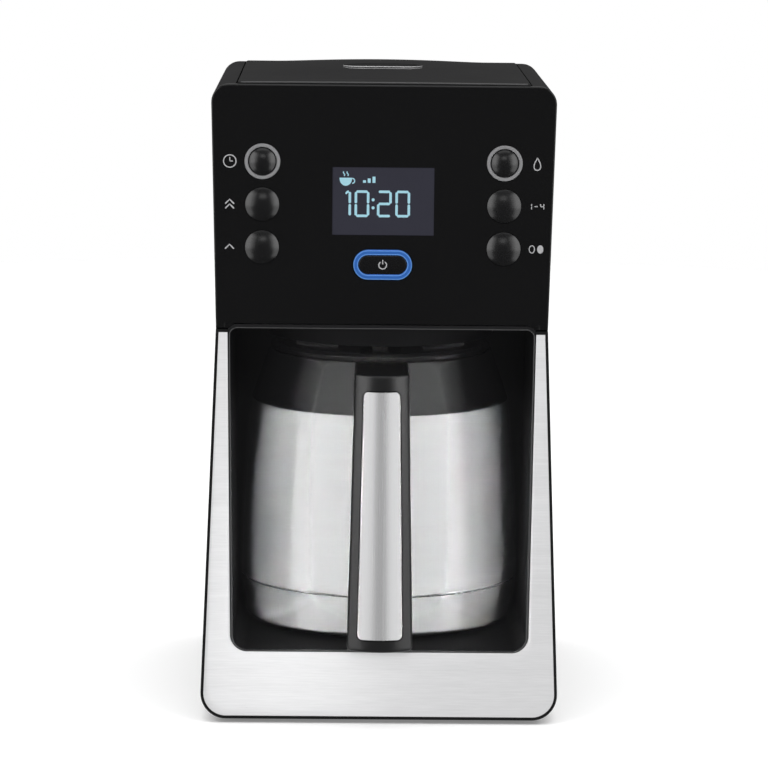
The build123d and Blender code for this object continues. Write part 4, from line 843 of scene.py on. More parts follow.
def trim_shell(sizes):
    """Strip between the bay's outline and the body's, laid on the raked front.

    Both outlines go down a leg, round a corner and along the foot in equal
    steps. Across the strip, each edge is a quarter circle of the roll's radius.
    """
    waist = WAIST_Z - sizes.ground

    def body_half(z):
        """Half width of the steel's outer outline at a height."""
        return mix(sizes.body_foot, sizes.body_waist, (z - sizes.ground) / waist) - sizes.border

    def bay_half(z):
        """Half width of the steel's inner outline at a height."""
        share = (z - sizes.bay_floor) / (WAIST_Z - sizes.bay_floor)
        return mix(sizes.bay_foot, sizes.bay_waist, share)

    def outline(half, floor, radius):
        """A leg, a rounded corner and half of the foot, from the top of the leg."""
        corners = [
            (0, sizes.top_z, 0),
            (half(sizes.top_z), sizes.top_z, 0),
            (half(floor), floor, radius),
            (0, floor, 0),
        ]
        loop = rounded_loop(corners, 28).reshape(4, 28, 2)
        share = np.linspace(0, 1, 44)[:, None]
        leg = mix(loop[1, 0], loop[2, 0], share)
        foot = mix(loop[2, -1], loop[3, 0], share)
        return np.vstack([leg, loop[2, 1:-1], foot])

    inner = outline(bay_half, sizes.bay_floor, sizes.inner_corner)
    outer = outline(body_half, sizes.foot_z, sizes.outer_corner)
    inner = np.vstack([inner, inner[-2::-1] * (-1, 1)])
    outer = np.vstack([outer, outer[-2::-1] * (-1, 1)])
    run = unit(outer - inner)[:, None]
    turn = np.linspace(0, np.pi / 2, 6)
    inset, deep = sizes.roll * (1 - np.cos(turn)), sizes.roll * (1 - np.sin(turn))
    near = inner[:, None] + run * inset[None, :, None]
    far = outer[:, None] - run * inset[None, ::-1, None]
    flat = mix(near[:, -1:], far[:, :1], np.linspace(0, 1, 8)[None, 1:-1, None])
    plan = np.concatenate([inner[:, None], near, flat, far, outer[:, None]], 1)
    depth = np.concatenate([[sizes.sheet], deep, np.zeros(6), deep[::-1], [sizes.sheet]])
    rake = sizes.rake * (WAIST_Z - plan[..., 1]) / waist
    grid = np.stack([plan[..., 0], PANEL_Y - rake + depth - sizes.proud, plan[..., 1]], -1)
    return shell(grid, caps=True)


def rim_shell(sizes):
    """A round bar carried round the bay's outline on the raked front, finer towards the top. Its grey colour
    paints the highlight on the edge of the bay's black lip, while its gloss is real.

    Along the floor its section is a low stadium, so that the carafe slides out over it.
    """
    proud = 0.75
    grow = sizes.rim_set
    half_low, half_high = sizes.bay_low_half + grow, sizes.bay_high_half + grow
    low_z, high_z = sizes.bay_low - grow, WAIST_Z + grow
    radius_low, radius_high = sizes.bay_low_corner + grow, sizes.bay_high_corner + grow
    path = rounded_loop(
        [
            (-half_low, low_z, radius_low),
            (half_low, low_z, radius_low),
            (half_high, high_z, radius_high),
            (-half_high, high_z, radius_high),
        ],
        24,
    )
    ahead = unit(np.roll(path, -1, 0) - np.roll(path, 1, 0))
    normal = np.stack([ahead[:, 1], -ahead[:, 0]], 1)
    angle = np.linspace(0, 2 * np.pi, 16, endpoint=False)
    rise = (path[:, 1:] - low_z) / (high_z - low_z)
    radius = mix(sizes.rim, sizes.rim_top, rise)
    on_floor = np.maximum(-normal[:, 1:], 0) ** 2
    tall = mix(radius, sizes.rim_flat, on_floor)
    deep = mix(radius, sizes.rim_deep, on_floor)
    plan = path[:, None] + normal[:, None] * (tall * np.cos(angle))[..., None]
    below = np.maximum(WAIST_Z - path[:, 1:], 0) / (WAIST_Z - sizes.ground)
    front = PANEL_Y - sizes.rake * below - proud * radius
    towards = np.sign(np.round(np.sin(angle), 6))
    y = front + deep - (deep - tall) * towards - tall * np.sin(angle)
    return shell(np.stack([plan[..., 0], y, plan[..., 1]], -1), close_rows=True)


def corner_shells(sizes):
    """Two small blocks that fill the panel's corners over the bay, set back from its face."""
    inward, outward, gap, rise = 2.4 * MM, 2.7 * MM, 0.15 * MM, 3.2 * MM
    setback, back = 0.35 * MM, 1.6 * MM
    near, far = sizes.bay_high_half - inward, sizes.bay_high_half + outward
    low_z, high_z = WAIST_Z + gap, WAIST_Z + rise
    loop = np.array([(near, low_z), (far, low_z), (far, high_z), (near, high_z)])
    blocks = []
    for sign in (-1, 1):
        rows = [
            np.stack([sign * loop[:, 0], np.full(4, PANEL_Y + deep), loop[:, 1]], 1)
            for deep in (setback, back)
        ]
        blocks.append(shell(np.array(rows), caps=True))
    return blocks


def button_back(sizes, radius):
    """Radius and height of a button behind its face: a flange, and a stem to its switch."""
    wide, stem = radius + 1.2 * MM, 2.5 * MM
    front, back, end = -3.3 * MM, -4.2 * MM, -sizes.stem
    return np.array([(radius, front), (wide, front), (wide, back), (stem, back), (stem, end), (0, end)])


def cap_shell(sizes, radius, x, z):
    """A domed button: a spherical face on the back that all buttons share."""
    rise = sizes.dome - sizes.edge
    ball = (radius**2 + rise**2) / (2 * rise)
    across = np.linspace(0, radius, 30)
    face = np.stack([across, sizes.dome - ball + np.sqrt(ball**2 - across**2)], 1)
    profile = np.vstack([face, button_back(sizes, radius)])
    angle = np.linspace(0, 2 * np.pi, 72, endpoint=False)
    radius, out = profile[:, :1], profile[:, 1:]
    return shell(on_panel(x + radius * np.cos(angle), z + radius * np.sin(angle), out))


def stadium(straight, radius, count=40):
    """A path of two half circles joined by straight sides, as points and outward normals."""
    angle = np.linspace(-np.pi / 2, np.pi / 2, count)
    angle = np.concatenate([angle, angle + np.pi])
    normal = np.stack([np.cos(angle), np.sin(angle)], 1)
    shift = np.where(np.arange(2 * count) < count, straight / 2, -straight / 2)
    return normal * radius + np.stack([shift, 0 * shift], 1), normal


def band_shell(straight, radius, width, proud, x, z, count=40):
    """A rounded rectangular section carried round a stadium, its front standing out."""
    path, normal = stadium(straight, radius - width / 2, count)
    half, edge = width / 2, min(0.45 * MM, width / 3)
    back, hem = -2.9 * MM, 0.1 * MM
    section = rounded_loop(
        [(-half, back, hem), (half, back, hem), (half, proud, edge), (-half, proud, edge)], 7
    )
    place = path[None] + normal[None] * section[:, :1, None]
    out = section[:, 1:] + np.zeros(len(path))
    return shell(on_panel(x + place[..., 0], z + place[..., 1], out), close_rows=True)


def long_cap_shell(sizes, straight, radius, x, z):
    """The long button: rings of a stadium from its middle line to its rim, slightly crowned."""
    edge, crown = 0.6 * MM, 0.25 * MM
    turn = np.linspace(0, np.pi / 2, 7)[1:]
    share = np.linspace(0, 1, 14)
    face = np.stack([(radius - edge) * share, sizes.long_cap - crown * share**2], 1)
    rim = sizes.long_cap - crown
    roll = np.stack([radius - edge + edge * np.sin(turn), rim - edge * (1 - np.cos(turn))], 1)
    profile = np.vstack([face, roll, button_back(sizes, radius)])
    path, normal = stadium(straight, 0)
    place = path[None] + normal[None] * profile[:, :1, None]
    out = profile[:, 1:] + np.zeros(len(path))
    return shell(on_panel(x + place[..., 0], z + place[..., 1], out))


def ribbon(left, right, pen, closed=False):
    """A thin flat mark between two paths on the panel, in millimetres, with its own thickness.

    The pen gives x and z of the marks' middle, the height of their ground and their rise over it.
    """
    x, z, ground, rise = pen
    place = np.stack([left, right, right, left], 1) * MM
    out = np.array([rise, rise, -PRINT_SUNK, -PRINT_SUNK]) + ground
    grid = on_panel(x + place[..., 0], z + place[..., 1], out)
    return shell(grid, close_rows=closed, caps=not closed)


def stroke(points, width, pen, closed=False):
    """A flat line of ink or light, set off by half its width to both sides of a path."""
    path = np.asarray(points, float)
    if closed:
        run = np.roll(path, -1, 0) - np.roll(path, 1, 0)
    else:
        run = np.gradient(path, axis=0)
    run = unit(run)
    normal = np.stack([-run[:, 1], run[:, 0]], 1) * np.reshape(width, (-1, 1)) / 2
    return ribbon(path + normal, path - normal, pen, closed)


def arc_path(radius, start, stop, centre=(0, 0), count=40, squash=1.0):
    """Points of an arc in millimetres, its angles in degrees, its height squashed."""
    angle = np.radians(np.linspace(start, stop, count))
    return np.stack(
        [centre[0] + radius * np.cos(angle), centre[1] + radius * squash * np.sin(angle)], 1
    )


def line(start, end, width, pen, count=4):
    """A straight stroke from one point to another."""
    return stroke(np.linspace(start, end, count), width, pen)


def spot(radius, pen, centre, squash=1.0):
    """A filled round mark: rings from its middle out and down to its back."""
    x, z, ground, rise = pen
    angle = np.linspace(0, 2 * np.pi, 40, endpoint=False)
    reach = np.array([0, 1, 1, 0])[:, None] * radius * MM
    out = np.array([rise, rise, -PRINT_SUNK, -PRINT_SUNK])[:, None] + ground
    across = x + centre[0] * MM + reach * np.cos(angle)
    up = z + centre[1] * MM + reach * squash * np.sin(angle)
    return shell(on_panel(across, up, out))


SEGMENTS = {
    "a": ((-1, 1), (1, 1)),
    "b": ((1, 1), (1, 0)),
    "c": ((1, 0), (1, -1)),
    "d": ((-1, -1), (1, -1)),
    "e": ((-1, 0), (-1, -1)),
    "f": ((-1, 1), (-1, 0)),
    "g": ((-1, 0), (1, 0)),
}
DIGITS = {"0": "abcdef", "1": "bc", "2": "abged", "4": "fgbc"}


def digit(shape, width, height, ink, at, pen):
    """A seven-segment digit: each lit segment is a short bar with slanted ends and a gap."""
    gap_share, slant_share, end_share = 0.12, 0.45, 0.25
    half = np.array([width, height]) / 2
    bars = []
    for name in DIGITS[shape]:
        ends = np.array(SEGMENTS[name], float) * half
        run = (ends[1] - ends[0]) / np.linalg.norm(ends[1] - ends[0])
        gap, slant = run * ink * gap_share, run * ink * slant_share
        path = np.array([ends[0] + gap, ends[0] + slant, ends[1] - slant, ends[1] - gap])
        widths = np.array([end_share, 1, 1, end_share]) * ink
        bars.append(stroke(path + np.asarray(at), widths, pen))
    return bars


# Finishes


FLOAT = "NodeSocketFloat"


def effect(name, inputs, outputs):
    """A new shader group with named sockets, and its first and last nodes."""
    tree = bpy.data.node_groups.new(name, "ShaderNodeTree")
    for label, kind, default in inputs:
        socket = tree.interface.new_socket(name=label, in_out="INPUT", socket_type=kind)
        socket.default_value = default
    for label in outputs:
        tree.interface.new_socket(name=label, in_out="OUTPUT", socket_type=FLOAT)
    return tree, tree.nodes.new("NodeGroupInput"), tree.nodes.new("NodeGroupOutput")


def maths(tree, operation, first, second):
    """One sum in a node tree: each side is a socket or a number."""
    step = tree.nodes.new("ShaderNodeMath")
    step.operation = operation
    for socket, value in zip(step.inputs, (first, second)):
        if isinstance(value, (int, float)):
            socket.default_value = value
        else:
            tree.links.new(value, socket)
    return step.outputs[0]


def noise(tree, vector, scale, detail, rough=0.5):
    """Noise between 0 and 1, its scale a socket or a number."""
    step = tree.nodes.new("ShaderNodeTexNoise")
    step.inputs["Detail"].default_value = detail
    step.inputs["Roughness"].default_value = rough
    tree.links.new(vector, step.inputs["Vector"])
    if isinstance(scale, (int, float)):
        step.inputs["Scale"].default_value = scale
    else:
        tree.links.new(scale, step.inputs["Scale"])
    return step.outputs[0]


def object_place(tree):
    """Object coordinates, which keep a pattern on its piece."""
    return tree.nodes.new("ShaderNodeTexCoord").outputs["Object"]


def swing(tree, value, spread):
    """A value's distance from a half, times a spread."""
    return maths(tree, "MULTIPLY", maths(tree, "SUBTRACT", value, 0.5), spread)


def moulded_effect():
    """Spark-eroded grain of moulded plastic, with slow patches in its gloss."""
    inputs = [
        ("Grain", FLOAT, 1400.0),
        ("Patch", FLOAT, 22.0),
        ("Roughness", FLOAT, 0.4),
        ("Spread", FLOAT, 0.1),
    ]
    tree, given, out = effect("Moulded grain", inputs, ["Height", "Tone", "Roughness"])
    place, spread = object_place(tree), given.outputs["Spread"]
    fine = noise(tree, place, given.outputs["Grain"], 2.0, 0.6)
    slow = noise(tree, place, given.outputs["Patch"], 4.0, 0.6)
    gloss = maths(tree, "ADD", given.outputs["Roughness"], swing(tree, slow, spread))
    gloss = maths(tree, "ADD", gloss, swing(tree, fine, spread))
    tree.links.new(fine, out.inputs["Height"])
    tree.links.new(slow, out.inputs["Tone"])
    tree.links.new(gloss, out.inputs["Roughness"])
    return tree


def brushed_effect():
    """Brush lines of steel: noise drawn out along one way, fine over broad."""
    inputs = [
        ("Stretch", "NodeSocketVector", (9.0, 9.0, 1500.0)),
        ("Roughness", FLOAT, 0.3),
        ("Spread", FLOAT, 0.12),
    ]
    tree, given, out = effect("Brush lines", inputs, ["Height", "Tone", "Roughness"])
    drawn = tree.nodes.new("ShaderNodeVectorMath")
    drawn.operation = "MULTIPLY"
    tree.links.new(object_place(tree), drawn.inputs[0])
    tree.links.new(given.outputs["Stretch"], drawn.inputs[1])
    fine = noise(tree, drawn.outputs[0], 1.0, 3.0, 0.65)
    broad = noise(tree, drawn.outputs[0], 0.11, 2.0, 0.5)
    tone = maths(tree, "ADD", maths(tree, "MULTIPLY", fine, 0.6), maths(tree, "MULTIPLY", broad, 0.4))
    gloss = maths(tree, "ADD", given.outputs["Roughness"], swing(tree, tone, given.outputs["Spread"]))
    tree.links.new(fine, out.inputs["Height"])
    tree.links.new(tone, out.inputs["Tone"])
    tree.links.new(gloss, out.inputs["Roughness"])
    return tree


def handling_effect():
    """Faint haze that hands leave on gloss: broad soft clouds with a limit."""
    inputs = [("Size", FLOAT, 14.0), ("Amount", FLOAT, 0.05)]
    tree, given, out = effect("Handling haze", inputs, ["Haze"])
    cloud = noise(tree, object_place(tree), given.outputs["Size"], 5.0, 0.6)
    raised = maths(tree, "MAXIMUM", maths(tree, "SUBTRACT", cloud, 0.48), 0.0)
    tree.links.new(maths(tree, "MULTIPLY", raised, given.outputs["Amount"]), out.inputs["Haze"])
    return tree


def use_effect(tree, effect_tree, **values):
    """Places a shader group in a material with its own values."""
    step = tree.nodes.new("ShaderNodeGroup")
    step.node_tree = effect_tree
    for label, value in values.items():
        step.inputs[label].default_value = value
    return step.outputs


def between(tree, share, first, second):
    """A colour between two others, by a socket's share."""
    step = tree.nodes.new("ShaderNodeMix")
    step.data_type = "RGBA"
    tree.links.new(share, step.inputs["Factor"])
    step.inputs["A"].default_value = (*first, 1)
    step.inputs["B"].default_value = (*second, 1)
    return step.outputs["Result"]


def bump(tree, shader, height, strength, distance):
    """A bump from a height socket into the shader's normal."""
    step = tree.nodes.new("ShaderNodeBump")
    step.inputs["Strength"].default_value = strength
    step.inputs["Distance"].default_value = distance
    tree.links.new(height, step.inputs["Height"])
    tree.links.new(step.outputs["Normal"], shader.inputs["Normal"])


def bare_finish(name):
    """A new material, its node tree and its shader."""
    material = bpy.data.materials.new(name)
    material.use_nodes = True
    return material, material.node_tree, material.node_tree.nodes["Principled BSDF"]


def shades(base, spread):
    """Two colours, a share darker and a share lighter than the base."""
    return tuple(c * (1 - spread) for c in base), tuple(min(1.0, c * (1 + spread)) for c in base)


def plastic(
    name, base, rough, effects, grain=1400.0, spread=0.1, depth=0.02, haze=0.0, vary=0.12, **constants
):
    """Moulded plastic or rubber: grain in its relief, patches in its colour and gloss."""
    material, tree, shader = bare_finish(name)
    grown = use_effect(tree, effects["moulded"], Grain=grain, Patch=22.0, Roughness=rough, Spread=spread)
    tree.links.new(between(tree, grown["Tone"], *shades(base, vary)), shader.inputs["Base Color"])
    gloss = grown["Roughness"]
    if haze:
        marks = use_effect(tree, effects["handling"], Size=14.0, Amount=haze)
        gloss = maths(tree, "ADD", gloss, marks["Haze"])
    tree.links.new(gloss, shader.inputs["Roughness"])
    bump(tree, shader, grown["Height"], 0.35, depth * MM)
    for label, value in constants.items():
        shader.inputs[label.replace("_", " ")].default_value = value
    return material


def brushed(name, base, rough, effects, stretch, turn, spread=0.12, vary=0.1, depth=0.006):
    """Brushed metal: lines in its colour, gloss and relief, its highlight drawn across them."""
    material, tree, shader = bare_finish(name)
    lines = use_effect(tree, effects["brushed"], Stretch=stretch, Roughness=rough, Spread=spread)
    tree.links.new(between(tree, lines["Tone"], *shades(base, vary)), shader.inputs["Base Color"])
    tree.links.new(lines["Roughness"], shader.inputs["Roughness"])
    shader.inputs["Metallic"].default_value = 1.0
    bump(tree, shader, lines["Height"], 0.25, depth * MM)
    if turn:
        shader.inputs["Anisotropic"].default_value = turn
        way = tree.nodes.new("ShaderNodeTangent")
        way.direction_type = "UV_MAP"
        way.uv_map = "grain"
        tree.links.new(way.outputs[0], shader.inputs["Tangent"])
    return material


def lit(name, base, strength, effects, rough):
    """A lit surface: its colour and its glow share slow patches."""
    material = plastic(name, base, rough, effects, depth=0.005, vary=0.06)
    tree = material.node_tree
    shader = tree.nodes["Principled BSDF"]
    patch = use_effect(tree, effects["moulded"], Grain=600.0, Patch=60.0, Roughness=0.3, Spread=0.1)
    tree.links.new(between(tree, patch["Tone"], *shades(base, 0.08)), shader.inputs["Emission Color"])
    shader.inputs["Emission Strength"].default_value = strength
    return material


PLASTICS = {
    # Finish: name, colour, roughness, grain, spread of the gloss, grain depth in mm, other values
    "panel": ("panel gloss black", "panel", 0.13, 700.0, 0.03, 0.002, {"haze": 0.25}),
    "shell": ("shell satin black", "shell", 0.5, 1500.0, 0.12, 0.03, {"Specular_IOR_Level": 0.25}),
    "cap": ("button satin black", "panel", 0.26, 900.0, 0.05, 0.002, {"haze": 0.15}),
    # Painted highlight: the edge finish is grey so that its bars read as the shine on black edges.
    "edge": ("polished edge grey", "edge", 0.16, 900.0, 0.04, 0.002, {"Specular_IOR_Level": 0.9}),
    # Painted highlight: the lip finish is near-white so that its beads read as the shine on the scoop's
    # edge.
    "lip": ("lip satin grey", "lip", 0.3, 1500.0, 0.1, 0.005, {}),
    "liner": ("liner black", "liner", 0.6, 1300.0, 0.12, 0.025, {"Specular_IOR_Level": 0.05}),
    "collar": ("collar gloss black", "collar", 0.16, 800.0, 0.04, 0.003, {"haze": 0.25}),
    "handle": ("handle satin black", "handle", 0.33, 1300.0, 0.1, 0.012, {"haze": 0.2}),
    "ring": ("ring grey", "ring", 0.38, 1200.0, 0.08, 0.004, {}),
    "ink": ("printed ink", "ink", 0.55, 1800.0, 0.1, 0.002, {}),
    "component": ("component black", "liner", 0.5, 1800.0, 0.12, 0.01, {}),
    "tank": ("smoky tank", "tank", 0.22, 500.0, 0.06, 0.004, {}),
    "silicone": ("silicone", "silicone", 0.55, 900.0, 0.08, 0.01, {}),
    "rubber": ("foot rubber", "rubber", 0.72, 1600.0, 0.12, 0.03, {}),
    "white": ("white plastic", "white", 0.42, 1200.0, 0.08, 0.008, {}),
}
METALS = {
    # Finish: name, colour, roughness, stretch of the lines, pull of the highlight, other values
    "trim": ("trim brushed steel", "steel", 0.3, (60.0, 60.0, 1250.0), 0.6, {"vary": 0.17}),
    "carafe": ("carafe brushed steel", "steel", 0.2, (30.0, 30.0, 1500.0), 0.5, {"vary": 0.07}),
    "cup": ("cup brushed steel", "inlay", 0.2, (30.0, 30.0, 1500.0), 0.5, {"vary": 0.07}),
    "inlay": ("inlay brushed steel", "inlay", 0.26, (1700.0, 300.0, 7.0), 0.6, {"vary": 0.1}),
    "steel": ("plain steel", "bare_steel", 0.28, (240.0, 240.0, 240.0), 0.0, {}),
    "aluminium": ("cast aluminium", "aluminium", 0.45, (380.0, 380.0, 380.0), 0.0, {"depth": 0.03}),
}
LIT_FACES = {
    # Finish: name, colour, strength of the glow, roughness
    "light": ("light ring blue", "light", 0.35, 0.3),
    # Painted highlight: the paler lines along the light ring's edges.
    "light_edge_highlight": ("light ring edge", "light_edge_highlight", 0.4, 0.25),
    "glass": ("display glass", "glass", 0.55, 0.12),
    "digits": ("lit digits", "digits", 0.45, 0.5),
}


def make_finishes(colours):
    """Builds every finish once, by its plain name."""
    effects = {
        "moulded": moulded_effect(),
        "brushed": brushed_effect(),
        "handling": handling_effect(),
    }
    made = FINISHES
    for finish, (name, tint, rough, grain, spread, depth, more) in PLASTICS.items():
        base = getattr(colours, tint)
        made[finish] = plastic(name, base, rough, effects, grain, spread, depth, **more)
    for finish, (name, tint, rough, stretch, turn, more) in METALS.items():
        made[finish] = brushed(name, getattr(colours, tint), rough, effects, stretch, turn, **more)
    for finish, (name, tint, strength, rough) in LIT_FACES.items():
        made[finish] = lit(name, getattr(colours, tint), strength, effects, rough)
    made["mesh"] = mesh_finish(colours.gold, effects)
    made["board"] = board_finish(colours.board, effects)
    return made


def mesh_finish(base, effects):
    """Fine woven mesh: two crossed sine waves give its wires, with dark holes between."""
    wires_round, wires_up, hole_tone = 300.0, 5200.0, 0.12
    material, tree, shader = bare_finish("fine filter mesh")
    place = object_place(tree)
    split = tree.nodes.new("ShaderNodeSeparateXYZ")
    tree.links.new(place, split.inputs[0])
    turn = maths(tree, "ARCTAN2", split.outputs["X"], split.outputs["Y"])
    round_ways = maths(tree, "SINE", maths(tree, "MULTIPLY", turn, wires_round), 0.0)
    up_ways = maths(tree, "SINE", maths(tree, "MULTIPLY", split.outputs["Z"], wires_up), 0.0)
    wires = maths(tree, "MAXIMUM", round_ways, up_ways)
    share = maths(tree, "ADD", maths(tree, "MULTIPLY", wires, 0.5), 0.5)
    hole = tuple(c * hole_tone for c in base)
    tree.links.new(between(tree, share, hole, base), shader.inputs["Base Color"])
    grown = use_effect(tree, effects["moulded"], Grain=900.0, Patch=30.0, Roughness=0.36, Spread=0.1)
    tree.links.new(grown["Roughness"], shader.inputs["Roughness"])
    shader.inputs["Metallic"].default_value = 1.0
    bump(tree, shader, share, 0.5, 0.05 * MM)
    return material


def board_finish(base, effects):
    """Lacquered circuit board: the edges of square cells read as copper tracks."""
    cell_scale, track_width = 190.0, 0.06
    material, tree, shader = bare_finish("lacquered board")
    place = object_place(tree)
    cells = tree.nodes.new("ShaderNodeTexVoronoi")
    cells.feature = "DISTANCE_TO_EDGE"
    cells.inputs["Scale"].default_value = cell_scale
    tree.links.new(place, cells.inputs["Vector"])
    track = maths(tree, "LESS_THAN", cells.outputs["Distance"], track_width)
    lighter = tuple(min(1.0, c * 2.2 + 0.02) for c in base)
    tree.links.new(between(tree, track, base, lighter), shader.inputs["Base Color"])
    grown = use_effect(tree, effects["moulded"], Grain=900.0, Patch=40.0, Roughness=0.32, Spread=0.1)
    tree.links.new(grown["Roughness"], shader.inputs["Roughness"])
    bump(tree, shader, track, 0.3, 0.03 * MM)
    return material


SLOT_FINISHES = {
    "gloss_black": "panel",
    "satin_black": "shell",
    "liner_black": "liner",
    "brushed_steel": "trim",
    "steel": "steel",
    "collar_black": "collar",
    "grey_ring": "ring",
    "blue_light": "light",
    "lens": "glass",
    "display": "glass",
    "board": "board",
    "component": "component",
    "clear_tank": "tank",
    "silicone": "silicone",
    "rubber": "rubber",
    "aluminium": "aluminium",
    "mesh_gold": "mesh",
    "white_plastic": "white",
}

# Widths of the bevels, in millimetres.
SOFT_EDGES = {
    "housing": 0.5,
    "base_pan": 0.5,
    "trim_carrier": 0.3,
    "bay_liner": 0.25,
    "carafe_lid": 0.35,
    "basket_holder": 0.4,
    "lid_liner": 0.4,
    "top_deck": 0.4,
}


def soft_shading(crease):
    """Geometry group for a CAD node: joins its triangles and smooths edges flatter than `crease`."""
    tree = bpy.data.node_groups.new("Soft shading", "GeometryNodeTree")
    tree.interface.new_socket(name="Geometry", in_out="INPUT", socket_type="NodeSocketGeometry")
    tree.interface.new_socket(name="Geometry", in_out="OUTPUT", socket_type="NodeSocketGeometry")
    given, out = tree.nodes.new("NodeGroupInput"), tree.nodes.new("NodeGroupOutput")
    join = tree.nodes.new("GeometryNodeMergeByDistance")
    join.inputs["Distance"].default_value = NODE_MERGE
    smooth = tree.nodes.new("GeometryNodeSetShadeSmooth")
    smooth.domain = "FACE"
    angle = tree.nodes.new("GeometryNodeInputMeshEdgeAngle")
    steep = tree.nodes.new("FunctionNodeCompare")
    steep.operation = "GREATER_THAN"
    steep.inputs["B"].default_value = math.radians(crease)
    sharp = tree.nodes.new("GeometryNodeSetShadeSmooth")
    sharp.domain = "EDGE"
    sharp.inputs["Shade Smooth"].default_value = False
    tree.links.new(given.outputs[0], join.inputs["Geometry"])
    tree.links.new(join.outputs["Geometry"], smooth.inputs["Geometry"])
    tree.links.new(angle.outputs["Unsigned Angle"], steep.inputs["A"])
    tree.links.new(steep.outputs["Result"], sharp.inputs["Selection"])
    tree.links.new(smooth.outputs["Geometry"], sharp.inputs["Geometry"])
    tree.links.new(sharp.outputs["Geometry"], out.inputs[0])
    return tree


# Operators


class COFFEE_OT_finishes(bpy.types.Operator):
    """Give every carried-over node its finish, smooth shading and soft edges"""

    bl_idname = "coffee.finishes"
    bl_label = "Finishes"

    def execute(self, context):
        made = make_finishes(settings(context, "colours"))
        shading = soft_shading(crease=32)
        for row in frame["record"]["subparts"]:
            node = frame["nodes"][row["node"]]
            finish = made[SLOT_FINISHES[row["material_slot"]]]
            if node.material_slots:
                node.material_slots[0].material = finish
            else:
                node.data.materials.append(finish)
            if row["node"] in SOFT_EDGES:
                self.soften(node, SOFT_EDGES[row["node"]] * MM)
            node.modifiers.new("soft shading", "NODES").node_group = shading
            node.modifiers.new("even normals", "WEIGHTED_NORMAL").keep_sharp = True
        return {"FINISHED"}

    def soften(self, node, width):
        """Joins a node's triangles into plain faces and bevels the edges between them."""
        plain_angle, bevel_angle = 0.4, 38
        weld = node.modifiers.new("join", "WELD")
        weld.merge_threshold = NODE_MERGE
        plain = node.modifiers.new("plain faces", "DECIMATE")
        plain.decimate_type = "DISSOLVE"
        plain.angle_limit = math.radians(plain_angle)
        bevel = node.modifiers.new("soft edges", "BEVEL")
        bevel.width = width
        bevel.segments = 2
        bevel.limit_method = "ANGLE"
        bevel.angle_limit = math.radians(bevel_angle)
        bevel.use_clamp_overlap = True


class COFFEE_OT_carafe(bpy.types.Operator):
    """Build the carafe's steel shell, base cup and collar"""

    bl_idname = "coffee.carafe"
    bl_label = "Carafe"

    def execute(self, context):
        sizes = settings(context, "carafe")
        add_piece(
            "carafe_shell", [turned(shell_profile(sizes))], "carafe", "carafe",
            ["carafe_body"], grain=upright_grain,
        )
        cup = cup_profile(sizes, low("carafe_base_cup").z, high("carafe_base_cup").z - sizes.seam_line)
        add_piece(
            "carafe_cup", [turned(cup)], "carafe", "cup",
            ["carafe_base_cup"], grain=upright_grain,
        )
        add_piece(
            "collar_with_spout", [collar_shell(sizes)], "carafe", "collar",
            ["carafe_collar"],
        )
        return {"FINISHED"}


class COFFEE_OT_springs(bpy.types.Operator):
    """Build the two valves' springs"""

    bl_idname = "coffee.springs"
    bl_label = "Springs"

    def execute(self, context):
        sizes = settings(context, "springs")
        brew, drip = (
            add_piece(name, [coil_shell(sizes, node)], body, "steel", [node])
            for name, node, body in (
                ("brew_coil", "brew_valve_spring", "carafe_lid"),
                ("drip_coil", "drip_spring", None),
            )
        )
        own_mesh(brew)
        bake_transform(drip)
        return {"FINISHED"}


class COFFEE_OT_handle(bpy.types.Operator):
    """Build the carafe's handle with its steel inlay and a painted shadow round the inlay"""

    bl_idname = "coffee.handle"
    bl_label = "Handle"

    def execute(self, context):
        sizes = settings(context, "handle")
        collar = settings(context, "carafe")
        add_piece(
            "handle_grip", [handle_shell(sizes, collar)], "carafe", "handle",
            ["carafe_handle"], crease=42,
        )
        plate = inlay_shells(sizes, 0.0, sizes.inlay_proud, sizes.inlay_roll)
        add_piece(
            "inlay_plate", plate, "carafe", "inlay",
            ["handle_inlay"], crease=50, grain=long_grain,
        )
        # A matte black plate just larger than the inlay: painted shadow in the gap round it.
        shadow_gap = inlay_shells(sizes, grow=0.5 * MM, proud=0.03 * MM, roll=0.1 * MM)
        add_piece("inlay_seat", shadow_gap, "carafe", "liner")
        return {"FINISHED"}


class COFFEE_OT_lid(bpy.types.Operator):
    """Build the machine's crowned lid, the beads of its finger scoop and its polished edge bar, whose pale
    colours paint highlights
    """

    bl_idname = "coffee.lid"
    bl_label = "Lid"

    def execute(self, context):
        sizes = settings(context, "lid")
        add_piece(
            "lid_cover", [lid_shell(sizes)], "lid", "shell", ["lid"], crease=50
        )
        lips = [
            lip_shell(sizes, sizes.bead, 0.0),
            lip_shell(sizes, sizes.fine_bead, sizes.bead_step),
        ]
        # Near-white beads: painted highlight along the scoop's front edge.
        add_piece("scoop_lip", lips, "lid", "lip")
        # Grey bar: painted highlight on the lid's front edge.
        add_piece("lid_edge", [edge_shell(sizes)], "lid", "edge")
        return {"FINISHED"}


class COFFEE_OT_trim(bpy.types.Operator):
    """Build the brushed steel front, the polished rim of the bay, whose grey paints a highlight, and the
    panel's corners
    """

    bl_idname = "coffee.trim"
    bl_label = "Steel front"

    def execute(self, context):
        sizes = settings(context, "trim")
        add_piece(
            "steel_front", [trim_shell(sizes)], "machine", "trim",
            ["front_trim"], grain=level_grain,
        )
        # Grey bar: painted highlight on the bay's lip.
        add_piece("bay_rim", [rim_shell(sizes)], "machine", "edge")
        add_piece(
            "panel_corners", corner_shells(sizes), "machine", "panel"
        )
        return {"FINISHED"}


ROUND_BUTTONS = {
    "program_button": True,
    "hour_button": False,
    "minute_button": False,
    "clean_button": True,
    "small_batch_button": False,
    "strength_button": False,
}


